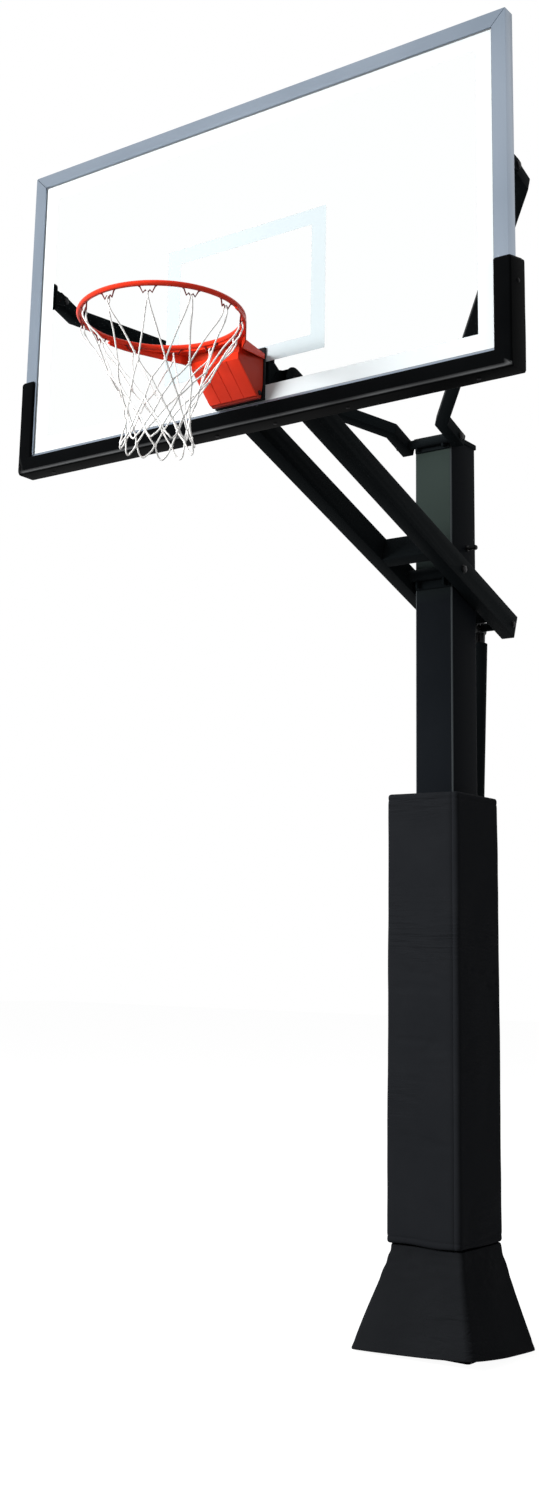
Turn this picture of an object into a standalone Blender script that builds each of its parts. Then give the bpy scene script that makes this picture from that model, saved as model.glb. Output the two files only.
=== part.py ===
# A padded basketball goal that stands on a ground anchor. Metres, +Z up, the board faces -Y.
# The origin is the middle of the base plate, on the ground. The board is at its top height.
import math

import bmesh
import bpy
from mathutils import Matrix, Vector

MM = 0.001
FIT = 0.3 * MM  # gap between pieces that touch
PIN_PLAY = 0.4 * MM  # radial play of a pin in its bore

# Post and base
POST_W = 0.152
POST_D = 0.180
POST_WALL = 0.005
POST_TOP = 3.1205
BASE_W = 0.300
BASE_D = 0.290
BASE_T = 0.016
ANCHOR_HOLE_R = 0.0095
ANCHOR_EDGE = 0.035
CAP_H = 0.019
CAP_WALL = 0.003

# Lift linkage, a parallelogram in side view
PIVOT_OUT = 0.022  # pivot line in front of the post
LOWER_PIVOT_Z = 2.600
LINK_H = 0.495
REACH = 1.053
RISE = 0.368
ARM_W = 0.051
ARM_H = 0.089
ARM_WALL = 0.004
ARM_GAP = 0.008  # arm to side of post
TAIL_PIN_AT = 0.395  # behind the main pivot, along the arm
TAIL_END = 0.025  # arm end past the tail pin
CROSS_FRONT_AT = 0.189  # front face of the cross tube, ahead of the main pivot
CROSS_DEEP = 0.050
UPPER_ARM = 0.0445  # square tube
UPPER_WALL = 0.004
UPPER_GAP = 0.00675  # upper arm to side of post
UPPER_TAIL = 0.033
UPPER_BEND_REAR = 0.101
UPPER_BEND_FRONT = 0.074  # bend to front pin
UPPER_NOSE = 0.028
BOLT_R = 0.0095
PIN_R = 0.008
HEAD_R = 0.0150
HEAD_T = 0.010
SLEEVE_R = 0.0165
CROSS_BOLT_Y = 0.020
CROSS_BOLT_UP = 0.112  # above the main pivot
CROSS_BOLT_R = 0.007
CROSS_BOLT_REACH = 0.034  # past each side of the post, over the lower arm

# Actuator behind the post
ACT_R = 0.027
ACT_ROD_R = 0.018
ACT_LEAN = 0.0611  # sideways per unit of rise
ACT_LOW_Z = 1.350
ACT_TOP_BELOW_PIN = 0.062
ACT_ROD_IN = 0.480
EYE_T = 0.014
EYE_SLOT_HALF = 0.0172
EYE_SHIFT = -0.0028  # slot middle from the tail pin at rest
EYE_SLOT_PLAY = 0.0030
EYE_SIDE_PLAY = 0.0010
BOSS_R = 0.0160
TAIL_PLATE_AHEAD = 0.078  # ahead of the tail pin, clear of the eye

# Board
BOARD_W = 1.829
BOARD_H = 1.067
RAIL_FACE = 0.046
RAIL_D = 0.045
RAIL_WALL = 0.003
PIVOT_BEHIND_RAIL = 0.0575
RING_Z = 3.048
RING_ABOVE_EDGE = 0.212
SEAL_T = 0.003
GLASS_T = 0.0127
GLASS_BACK = 0.008  # glass face behind the frame face
RAIL_CORNER = 0.0025

# Backboard pad
PAD_OUT = 0.0105
PAD_UNDER = 0.018
PAD_LIP = 0.040
PAD_SIDE_LIP = 0.051
PAD_DEEP = 0.080  # rear face behind the frame face
PAD_REAR_WALL = 0.012
PAD_SIDE_H = 0.305
PAD_ROUND = 0.007
RIVET_R = 0.0065
RIVET_STEM = 0.0035
RIVET_BELOW = (0.110, 0.370, 0.800)
RIVET_SIDE_Z = 0.243
RIVET_BACK = 0.037

# Rim
RING_INNER = 0.2286
RING_ROD = 0.008
RING_GAP = 0.152
HOOKS = 12
HOOK_WIRE = 0.0016
HOOK_HALF = 0.024
HOOK_DROP = 0.022
HOOK_PEAK = 0.55  # of the drop, the two small peaks beside the cord
HOOK_IN = 0.0065
MOUNT_HALF = 0.093
MOUNT_LOW = 0.0510  # above the lower edge of the board
MOUNT_HIGH = 0.219
MOUNT_T = 0.0080
RIM_BOLT_R = 0.0055
RIM_BOLT_X = 0.0635
RIM_BOLT_LOW = 0.085
RIM_BOLT_HIGH = 0.172
HOUSING_HALF = 0.088
HOUSING_T = 0.004
HOUSING_DEEP = 0.128
COVER_T = 0.005
COVER_RISE = 0.0905
COVER_FOOT = 0.033
COVER_UP = 0.0035
COVER_TOP = 0.163
HINGE_OUT = 0.016
HINGE_UP = 0.068
HINGE_PIN_R = 0.005
LUG_R = 0.008
HOUSING_FLOOR = 0.0165  # below the hinge axis
FLANGE_T = 0.006
FLANGE_FOLD = 0.028
FLANGE_FROM = 10.0  # degrees round the ring
FLANGE_LEAVE = 38.0
FLANGE_SHOULDER = (0.147, 0.212)  # from the ring's middle
FLANGE_WAIST = (0.118, 0.236)
SPRING_WIRE = 0.00125
SPRING_TURNS = 6

# Net
NET_CORD = 0.0050
NET_ROWS = (  # drop below the hooks and distance inside them, row by row
    (0.000, 0.0000),
    (0.058, 0.0401),
    (0.110, 0.0761),
    (0.154, 0.1041),
    (0.197, 0.1231),
    (0.240, 0.1341),
    (0.283, 0.1371),
    (0.325, 0.1321),
    (0.370, 0.1221),
)

# Post wrap
WRAP_HALF = 0.140
WRAP_FRONT = 0.0875  # in front of the post
WRAP_BACK = 0.0325  # behind the rear face of the post
WRAP_LOW = 0.335
WRAP_HIGH = 1.812
WRAP_ROUND = 0.016
WRAP_FIT = 0.001
FOOT_HALF = 0.241
FOOT_FRONT = 0.0715  # foot past the wrap, front and rear
FOOT_BACK = 0.0475
FOOT_TOP_IN = 0.0045  # top of the foot inside the wrap, sides and front
FOOT_TOP_BACK = 0.0175
FOOT_WALL = 0.014
STRAP_Z = (0.760, 1.474)
STRAP_W = 0.050
STRAP_T = 0.003

# Places worked out from the sizes above
LIFT = math.atan2(RISE, REACH)
ARM_LEN = math.hypot(REACH, RISE)
PIVOT_Y = -(POST_D / 2 + PIVOT_OUT)
UPPER_PIVOT_Z = LOWER_PIVOT_Z + LINK_H
FRONT_Y = PIVOT_Y - REACH
LOWER_FRONT_Z = LOWER_PIVOT_Z + RISE
UPPER_FRONT_Z = UPPER_PIVOT_Z + RISE
RAIL_BACK_Y = FRONT_Y - PIVOT_BEHIND_RAIL
FACE_Y = RAIL_BACK_Y - RAIL_D
EDGE_Z = RING_Z - RING_ABOVE_EDGE
ARM_IN = POST_W / 2 + ARM_GAP
ARM_OUT = ARM_IN + ARM_W
UPPER_IN = POST_W / 2 + UPPER_GAP
UPPER_X = UPPER_IN + UPPER_ARM / 2
RAIL_X = BOARD_W / 2 - RAIL_FACE / 2 - 0.0215
GLASS_Y = FACE_Y + GLASS_BACK
RING_Y = FACE_Y - RING_GAP - RING_INNER
RING_MID = RING_INNER + RING_ROD
MOUNT_FACE_Y = GLASS_Y - FIT - MOUNT_T
ROD_Z = RING_Z - RING_ROD
HOOK_LOW_Z = RING_Z - 2 * RING_ROD - HOOK_DROP - HOOK_WIRE
NET_TOP_Z = HOOK_LOW_Z - 0.5 * MM - NET_CORD / 2

PARTS = None
CUTTERS = None


def clear_scene():
    for old in list(bpy.data.objects):
        bpy.data.objects.remove(old, do_unlink=True)


def new_collection(name):
    made = bpy.data.collections.new(name)
    bpy.context.scene.collection.children.link(made)
    return made


def finish(name, color, roughness, metallic=0.0, alpha=1.0):
    made = bpy.data.materials.new(name)
    made.use_nodes = True
    shader = made.node_tree.nodes["Principled BSDF"]
    shader.inputs["Base Color"].default_value = (*color, 1.0)
    shader.inputs["Roughness"].default_value = roughness
    shader.inputs["Metallic"].default_value = metallic
    shader.inputs["Alpha"].default_value = alpha
    made.diffuse_color = (*color, 1.0)
    return made


def add_object(name, mesh, material, parent=None, collection=None):
    obj = bpy.data.objects.new(name, mesh)
    (collection or PARTS).objects.link(obj)
    if material:
        mesh.materials.clear()
        mesh.materials.append(material)
    if parent:
        obj.parent = parent
    return obj


def joint_empty(name, place, tilt=0.0):
    """An empty on a joint's axis, in world coordinates, tilted about X."""
    empty = bpy.data.objects.new(name, None)
    empty.empty_display_size = 0.05
    PARTS.objects.link(empty)
    empty.location = place
    empty.rotation_euler = (tilt, 0.0, 0.0)
    return empty


def round_edges(obj, width, segments=2, angle=35.0):
    bevel = obj.modifiers.new("Bevel", "BEVEL")
    bevel.width = width
    bevel.segments = segments
    bevel.limit_method = "ANGLE"
    bevel.angle_limit = math.radians(angle)
    bevel.use_clamp_overlap = True
    return bevel


def smooth(mesh, angle=40.0):
    mesh.shade_smooth()
    mesh.set_sharp_from_angle(angle=math.radians(angle))


def mesh_from(bm, name):
    mesh = bpy.data.meshes.new(name)
    bmesh.ops.recalc_face_normals(bm, faces=bm.faces)
    bm.to_mesh(mesh)
    bm.free()
    return mesh


def box(name, low, high, material, parent=None, bevel=0.0, segments=1, collection=None):
    """A box between two corners given in its parent's space."""
    low, high = Vector(low), Vector(high)
    bm = bmesh.new()
    bmesh.ops.create_cube(bm, size=1.0)
    size = high - low
    bmesh.ops.scale(bm, vec=size, verts=bm.verts)
    obj = add_object(name, mesh_from(bm, name), material, parent, collection)
    obj.location = (low + high) / 2
    if bevel:
        round_edges(obj, bevel, segments)
    return obj


def rod(name, radius, start, end, material, parent=None, sides=22, collection=None):
    """A cylinder between two points."""
    start, end = Vector(start), Vector(end)
    along = end - start
    bm = bmesh.new()
    bmesh.ops.create_cone(bm, cap_ends=True, segments=sides, radius1=radius, radius2=radius, depth=along.length)
    turn = along.to_track_quat("Z", "Y").to_matrix().to_4x4()
    bmesh.ops.transform(bm, matrix=turn, verts=bm.verts)
    mesh = mesh_from(bm, name)
    smooth(mesh)
    obj = add_object(name, mesh, material, parent, collection)
    obj.location = (start + end) / 2
    return obj


def outline_solid(name, outlines, thick, material, parent=None, collection=None, plane="XY"):
    """A flat outline with holes, extruded evenly about its plane, as a mesh.

    plane XY keeps the outline flat, YZ stands it in side view, XZ in front view."""
    curve = bpy.data.curves.new(name, "CURVE")
    curve.dimensions = "2D"
    curve.fill_mode = "BOTH"
    curve.extrude = thick / 2
    for points in outlines:
        spline = curve.splines.new("POLY")
        spline.points.add(len(points) - 1)
        for point, (a, b) in zip(spline.points, points):
            point.co = (a, b, 0.0, 1.0)
        spline.use_cyclic_u = True
    guide = bpy.data.objects.new(name + "_outline", curve)
    CUTTERS.objects.link(guide)
    graph = bpy.context.evaluated_depsgraph_get()
    mesh = bpy.data.meshes.new_from_object(guide.evaluated_get(graph), depsgraph=graph)
    bpy.data.objects.remove(guide, do_unlink=True)
    turns = {
        "XY": Matrix.Identity(4),
        "YZ": Matrix(((0, 0, 1, 0), (1, 0, 0, 0), (0, 1, 0, 0), (0, 0, 0, 1))),
        "XZ": Matrix(((1, 0, 0, 0), (0, 0, -1, 0), (0, 1, 0, 0), (0, 0, 0, 1))),
    }
    bm = bmesh.new()
    bm.from_mesh(mesh)
    bmesh.ops.remove_doubles(bm, verts=bm.verts, dist=0.00001)
    bmesh.ops.transform(bm, matrix=turns[plane], verts=bm.verts)
    bpy.data.meshes.remove(mesh)
    return add_object(name, mesh_from(bm, name), material, parent, collection)


def arc(center, radius, start, stop, steps):
    """Points on an arc, angles in degrees."""
    points = []
    for step in range(steps + 1):
        turn = math.radians(start + (stop - start) * step / steps)
        points.append((center[0] + radius * math.cos(turn), center[1] + radius * math.sin(turn)))
    return points


def rounded_rectangle(width, height, radius, steps=4, center=(0.0, 0.0)):
    points = []
    for sx, sy, start in ((1, 1, 0), (-1, 1, 90), (-1, -1, 180), (1, -1, 270)):
        corner = (center[0] + sx * (width / 2 - radius), center[1] + sy * (height / 2 - radius))
        points += arc(corner, radius, start, start + 90, steps)
    return points


def as_cutter(obj):
    obj.hide_render = True
    obj.display_type = "WIRE"
    return obj


def boolean(target, other, operation="DIFFERENCE"):
    modifier = target.modifiers.new("Boolean", "BOOLEAN")
    modifier.operation = operation
    modifier.solver = "EXACT"
    modifier.object = as_cutter(other)


def bore(target, radius, start, end, sides=20, parent=None):
    cutter = rod(target.name + "_bore", radius, start, end, None, parent, sides, CUTTERS)
    boolean(target, cutter)


def weld(target, other):
    """Joins another closed shape to the target."""
    boolean(target, other, "UNION")


def hex_bolt(name, radius, start, end, material, parent=None, head=HEAD_R, head_t=HEAD_T):
    """A bolt along X whose shank runs between two head faces, with a hexagon at each end."""
    start, end = Vector(start), Vector(end)
    along = (end - start).normalized()
    bm = bmesh.new()
    turn = along.to_track_quat("Z", "Y").to_matrix().to_4x4()
    middle = (start + end) / 2

    def piece(sides, r, a, b):
        made = bmesh.ops.create_cone(
            bm, cap_ends=True, segments=sides, radius1=r, radius2=r, depth=(b - a).length
        )
        place = Matrix.Translation((a + b) / 2 - middle) @ turn
        bmesh.ops.transform(bm, matrix=place, verts=made["verts"])

    overlap = along * head_t * 0.4
    piece(16, radius, start - overlap, end + overlap)
    mesh = mesh_from(bm, name)
    obj = add_object(name, mesh, material, parent)
    obj.location = middle
    ends = [(start - along * head_t, start), (end, end + along * head_t)]
    for number, (a, b) in enumerate(ends):
        head_piece = rod(name + "_head_" + str(number), head, a, b, None, parent, 6, CUTTERS)
        weld(obj, head_piece)
    return obj


def rectangle_tube(name, width, height, wall, length, material, parent=None, corner=0.004, plane="XZ"):
    """A rectangular tube, open at both ends, centred on its own origin."""
    tube = outline_solid(name, [rounded_rectangle(width, height, corner, 3)], length, material, parent, None, plane)
    inner = rounded_rectangle(width - 2 * wall, height - 2 * wall, max(corner - wall, 0.001), 2)
    hollow = outline_solid(name + "_hollow", [inner], length + 0.1, None, tube, CUTTERS, plane)
    boolean(tube, hollow)
    return tube


def make_base(paint):
    plate = outline_solid(
        "base_plate",
        [rounded_rectangle(BASE_W, BASE_D, 0.012)],
        BASE_T,
        paint,
    )
    plate.location = (0, 0, BASE_T / 2)
    for sx in (-1, 1):
        for sy in (-1, 1):
            x = sx * (BASE_W / 2 - ANCHOR_EDGE)
            y = sy * (BASE_D / 2 - ANCHOR_EDGE)
            bore(plate, ANCHOR_HOLE_R, (x, y, -0.01), (x, y, BASE_T + 0.01), 24)
    return plate


def make_post(paint):
    length = POST_TOP - BASE_T - FIT
    tube = rectangle_tube("post_tube", POST_W, POST_D, POST_WALL, length, paint, corner=0.010, plane="XY")
    tube.location = (0, 0, BASE_T + FIT + length / 2)
    bolt_z = LOWER_PIVOT_Z + CROSS_BOLT_UP
    bore(tube, CROSS_BOLT_R + FIT, (-0.1, CROSS_BOLT_Y, bolt_z), (0.1, CROSS_BOLT_Y, bolt_z))
    cap_w = POST_W + 2 * (CAP_WALL + FIT)
    cap_d = POST_D + 2 * (CAP_WALL + FIT)
    cap = box(
        "post_cap",
        (-cap_w / 2, -cap_d / 2, POST_TOP + FIT + CAP_WALL - CAP_H),
        (cap_w / 2, cap_d / 2, POST_TOP + FIT + CAP_WALL),
        paint,
        bevel=0.002,
    )
    hollow_outline = rounded_rectangle(POST_W + 2 * FIT, POST_D + 2 * FIT, 0.010, 3)
    hollow = outline_solid("post_cap_hollow", [hollow_outline], 0.1, None, None, CUTTERS)
    hollow.location = (0, 0, POST_TOP + FIT - 0.05)
    boolean(cap, hollow)
    return tube


def pivot_bracket(name, z, height, sleeve_r, sleeve_half, bore_r, material):
    """A plate on the front of the post with a cross sleeve for a pivot bolt."""
    back_y = -POST_D / 2 - FIT
    plate = box(name, (-POST_W / 2 + 0.006, back_y - 0.008, z - height / 2),
                (POST_W / 2 - 0.006, back_y, z + min(height / 2, sleeve_r * 0.3)), material, bevel=0.0015)
    sleeve = rod(name + "_sleeve", sleeve_r, (-sleeve_half, PIVOT_Y, z), (sleeve_half, PIVOT_Y, z),
                 None, sides=28, collection=CUTTERS)
    weld(plate, sleeve)
    for side in (-1, 1):
        x = side * (POST_W / 2 - 0.022)
        web = box(name + "_web", (x - 0.004, PIVOT_Y - 0.006, z - height / 2 + 0.004),
                  (x + 0.004, back_y - 0.004, z), None, collection=CUTTERS)
        weld(plate, web)
    bore(plate, bore_r, (-sleeve_half - 0.01, PIVOT_Y, z), (sleeve_half + 0.01, PIVOT_Y, z))
    return plate


def make_pivots(paint, plated):
    pivot_bracket("lower_pivot_bracket", LOWER_PIVOT_Z, 0.100, PIVOT_OUT - 0.8 * MM,
                  ARM_IN - FIT, BOLT_R + FIT, paint)
    pivot_bracket("upper_pivot_bracket", UPPER_PIVOT_Z, 0.060, SLEEVE_R, UPPER_IN - FIT, BOLT_R + FIT, paint)
    hex_bolt("main_pivot_bolt", BOLT_R, (-ARM_OUT - FIT, PIVOT_Y, LOWER_PIVOT_Z),
             (ARM_OUT + FIT, PIVOT_Y, LOWER_PIVOT_Z), plated)
    upper_out = UPPER_IN + UPPER_ARM
    hex_bolt("upper_pivot_bolt", BOLT_R, (-upper_out - FIT, PIVOT_Y, UPPER_PIVOT_Z),
             (upper_out + FIT, PIVOT_Y, UPPER_PIVOT_Z), plated)
    bolt_z = LOWER_PIVOT_Z + CROSS_BOLT_UP
    reach = POST_W / 2 + CROSS_BOLT_REACH
    bolt = hex_bolt("post_cross_bolt", CROSS_BOLT_R, (-reach, CROSS_BOLT_Y, bolt_z), (reach, CROSS_BOLT_Y, bolt_z),
                    plated, head=0.010, head_t=0.008)
    for side in (-1, 1):
        inner = side * (POST_W / 2 + FIT)
        nut = rod("cross_bolt_nut", 0.0115, (inner, CROSS_BOLT_Y, bolt_z),
                  (inner + side * 0.007, CROSS_BOLT_Y, bolt_z), None, sides=6, collection=CUTTERS)
        weld(bolt, nut)


def lower_arm(name, side, paint, parent):
    """One long arm in its pivot's space: the front lies along -Y."""
    x = side * (ARM_IN + ARM_W / 2)
    nose = arc((-ARM_LEN, 0), ARM_H / 2, 90, 270, 12)
    tail = TAIL_PIN_AT + TAIL_END
    outline = nose + [(tail, -ARM_H / 2), (tail, ARM_H / 2)]
    arm = outline_solid(name, [outline], ARM_W, paint, parent, plane="YZ")
    arm.location = (x, 0, 0)
    round_edges(arm, 0.003, 2, 60)
    hollow = box(name + "_hollow", (x - ARM_W / 2 + ARM_WALL, -ARM_LEN - ARM_H, -ARM_H / 2 + ARM_WALL),
                 (x + ARM_W / 2 - ARM_WALL, tail + 0.05, ARM_H / 2 - ARM_WALL), None, parent,
                 collection=CUTTERS)
    boolean(arm, hollow)
    boss = rod(name + "_boss", BOSS_R, (side * (EYE_T / 2 + EYE_SIDE_PLAY), TAIL_PIN_AT, 0),
               (side * (ARM_IN + ARM_WALL - 0.001), TAIL_PIN_AT, 0), None, parent, collection=CUTTERS)
    weld(arm, boss)
    for y, radius in ((0, BOLT_R), (-ARM_LEN, BOLT_R), (TAIL_PIN_AT, PIN_R)):
        start = 0 if y > 0 else side * (ARM_IN - 0.02)
        bore(arm, radius + PIN_PLAY, (start, y, 0), (side * (ARM_OUT + 0.02), y, 0), parent=parent)
    return arm


def make_lower_arms(paint, plated, parent):
    lower_arm("lower_arm_left", -1, paint, parent)
    lower_arm("lower_arm_right", 1, paint, parent)
    width = 2 * (ARM_IN - FIT)
    cross = rectangle_tube("arm_cross_tube", ARM_H, CROSS_DEEP, ARM_WALL, width, paint, parent, plane="XY")
    cross.location = (0, -CROSS_FRONT_AT + CROSS_DEEP / 2, 0)
    cross.rotation_euler = (0, math.radians(90), 0)
    tail_y = TAIL_PIN_AT - TAIL_PLATE_AHEAD
    box("tail_cross_plate", (-width / 2, tail_y - 0.005, -0.028), (width / 2, tail_y + 0.005, 0.038), paint, parent,
        bevel=0.0015)
    hex_bolt("tail_pin", PIN_R, (-ARM_OUT - FIT, TAIL_PIN_AT, 0), (ARM_OUT + FIT, TAIL_PIN_AT, 0), plated,
             parent, head=0.0125, head_t=0.008)


def tube_plan(half, side):
    """Plan outline of an upper arm, at a half width about its centre line."""
    rear = (side * UPPER_X, UPPER_TAIL)
    bend_rear = (side * UPPER_X, -UPPER_BEND_REAR)
    bend_front = (side * RAIL_X, -(ARM_LEN - UPPER_BEND_FRONT))
    front = (side * RAIL_X, -(ARM_LEN + UPPER_NOSE))
    line = [Vector(p) for p in (rear, bend_rear, bend_front, front)]
    left, right = [], []
    for number, point in enumerate(line):
        before = (point - line[number - 1]).normalized() if number else None
        after = (line[number + 1] - point).normalized() if number < len(line) - 1 else None
        if before is None:
            before = after
        if after is None:
            after = before
        normal = Vector((-(before.y + after.y), before.x + after.x)).normalized()
        stretch = half / max(0.2, normal.dot(Vector((-before.y, before.x))))
        left.append(point + normal * stretch)
        right.append(point - normal * stretch)
    return left, right


def upper_arm(name, side, paint, parent):
    left, right = tube_plan(UPPER_ARM / 2, side)
    outline = [tuple(p) for p in left] + [tuple(p) for p in reversed(right)]
    arm = outline_solid(name, [outline], UPPER_ARM, paint, parent)
    round_edges(arm, 0.003, 2, 30)
    left, right = tube_plan(UPPER_ARM / 2 - UPPER_WALL, side)
    ends = Vector((0, 0.03))
    left[0] += ends
    right[0] += ends
    left[-1] -= ends
    right[-1] -= ends
    inner = [tuple(p) for p in left] + [tuple(p) for p in reversed(right)]
    hollow = outline_solid(name + "_hollow", [inner], UPPER_ARM - 2 * UPPER_WALL, None, parent, CUTTERS)
    boolean(arm, hollow)
    rear_x = side * UPPER_X
    bore(arm, BOLT_R + PIN_PLAY, (rear_x - ARM_W, 0, 0), (rear_x + ARM_W, 0, 0), parent=parent)
    rail_x = side * RAIL_X
    bore(arm, PIN_R + 2 * PIN_PLAY, (rail_x - ARM_W, -ARM_LEN, 0), (rail_x + ARM_W, -ARM_LEN, 0), parent=parent)
    return arm


def make_actuator(paint, plated, bright):
    """The lift tube behind the post, with the sliding rod whose slotted eye takes the tail pin."""
    pin = Vector((0, PIVOT_Y, LOWER_PIVOT_Z)) + Matrix.Rotation(-LIFT, 3, "X") @ Vector((0, TAIL_PIN_AT, 0))
    up = Vector((0, ACT_LEAN, 1)).normalized()
    foot = pin + up * ((ACT_LOW_Z - pin.z) / up.z)
    top = pin - up * ACT_TOP_BELOW_PIN
    tube = rod("actuator_tube", ACT_R, foot - up * 0.022, top, paint)
    bore(tube, ACT_ROD_R + PIN_PLAY, foot + up * 0.030, top + up * 0.01, 28)
    bore(tube, PIN_R + FIT, (-0.05, foot.y, foot.z), (0.05, foot.y, foot.z), 20)
    eye_half = 0.024
    rod_top = pin - up * (eye_half - 0.003)
    shaft = rod("actuator_rod", ACT_ROD_R, top - up * ACT_ROD_IN, rod_top, bright)
    lean = math.atan(ACT_LEAN)
    eye = outline_solid("actuator_eye", [rounded_rectangle(0.078, 2 * eye_half, 0.018, 4)], EYE_T, None,
                        None, CUTTERS, "YZ")
    across = Vector((0, up.z, -up.y))
    eye.location = pin + across * EYE_SHIFT
    eye.rotation_euler = (-lean, 0, 0)
    weld(shaft, eye)
    slot_r = PIN_R + EYE_SLOT_PLAY
    slot = outline_solid("actuator_slot", [rounded_rectangle(2 * (EYE_SLOT_HALF + slot_r), 2 * slot_r,
                                                             slot_r - 0.0002, 6)], 0.06, None, None, CUTTERS,
                         "YZ")
    slot.location = eye.location
    slot.rotation_euler = (-lean, 0, 0)
    boolean(shaft, slot)
    back = POST_D / 2 + FIT
    bracket = box("actuator_bracket", (-0.048, back, ACT_LOW_Z - 0.060), (0.048, back + 0.008, ACT_LOW_Z + 0.060),
                  paint, bevel=0.002)
    for side in (-1, 1):
        low_x = ACT_R + 1.0 * MM
        high_x = low_x + 0.008
        ear_outline = [(back + 0.004, ACT_LOW_Z - 0.050), (foot.y, ACT_LOW_Z - 0.020)]
        ear_outline += arc((foot.y, ACT_LOW_Z), 0.020, -90, 90, 8)[1:]
        ear_outline += [(back + 0.004, ACT_LOW_Z + 0.050)]
        ear = outline_solid("actuator_ear", [ear_outline], 0.008, None, None, CUTTERS, "YZ")
        ear.location = (side * (low_x + high_x) / 2, 0, 0)
        weld(bracket, ear)
    bore(bracket, PIN_R + FIT, (-0.06, foot.y, foot.z), (0.06, foot.y, foot.z), 20)
    reach = ACT_R + 1.0 * MM + 0.008 + FIT
    hex_bolt("actuator_lower_pin", PIN_R, (-reach, foot.y, foot.z), (reach, foot.y, foot.z), plated,
             head=0.0125, head_t=0.007)


def rail(name, outline, low, high, material):
    """One mitred frame rail: a front-view outline, hollow along its length."""
    piece = outline_solid(name, [outline], RAIL_D, material, plane="XZ")
    piece.location = (0, FACE_Y + RAIL_D / 2, 0)
    round_edges(piece, RAIL_CORNER, 2, 60)
    hollow = box(name + "_hollow", low, high, None, collection=CUTTERS)
    boolean(piece, hollow)
    return piece


def make_frame(aluminium, rubber, glass):
    half = BOARD_W / 2
    low, high = EDGE_Z, EDGE_Z + BOARD_H
    face = RAIL_FACE
    gap = FIT / 2 * math.sqrt(2)
    y0, y1 = FACE_Y + RAIL_WALL, RAIL_BACK_Y - RAIL_WALL
    wall = RAIL_WALL
    rail("frame_top_rail",
         [(-half + gap, high), (-half + face + gap, high - face), (half - face - gap, high - face), (half - gap, high)],
         (-half - 0.1, y0, high - face + wall), (half + 0.1, y1, high - wall), aluminium)
    rail("frame_bottom_rail",
         [(-half + gap, low), (half - gap, low), (half - face - gap, low + face), (-half + face + gap, low + face)],
         (-half - 0.1, y0, low + wall), (half + 0.1, y1, low + face - wall), aluminium)
    for side, word in ((-1, "left"), (1, "right")):
        outline = [
            (side * half, low + gap),
            (side * half, high - gap),
            (side * (half - face), high - face - gap),
            (side * (half - face), low + face + gap),
        ]
        xs = sorted((side * (half - wall), side * (half - face + wall)))
        rail("frame_" + word + "_rail", outline, (xs[0], y0, low - 0.1), (xs[1], y1, high + 0.1), aluminium)
    hole_w = BOARD_W - 2 * face - 2 * FIT
    hole_h = BOARD_H - 2 * face - 2 * FIT
    middle_z = EDGE_Z + BOARD_H / 2
    outer = rounded_rectangle(hole_w, hole_h, 0.002, 1)
    inner = rounded_rectangle(hole_w - 2 * SEAL_T, hole_h - 2 * SEAL_T, 0.002, 1)
    seal = outline_solid("frame_seal", [outer, inner], GLASS_T + 0.004, rubber, plane="XZ")
    seal.location = (0, GLASS_Y + GLASS_T / 2, middle_z)
    glass_w = hole_w - 2 * SEAL_T - 2 * FIT
    glass_h = hole_h - 2 * SEAL_T - 2 * FIT
    pane = outline_solid("glass_pane", [rounded_rectangle(glass_w, glass_h, 0.002, 1)], GLASS_T, glass, plane="XZ")
    pane.location = (0, GLASS_Y + GLASS_T / 2, middle_z)
    for x, z in rim_bolt_places():
        bore(pane, RIM_BOLT_R + 0.002, (x, GLASS_Y - 0.02, z), (x, GLASS_Y + 0.04, z), 16)


def rim_bolt_places():
    return [(sx * RIM_BOLT_X, EDGE_Z + z) for sx in (-1, 1) for z in (RIM_BOLT_LOW, RIM_BOLT_HIGH)]


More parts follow.
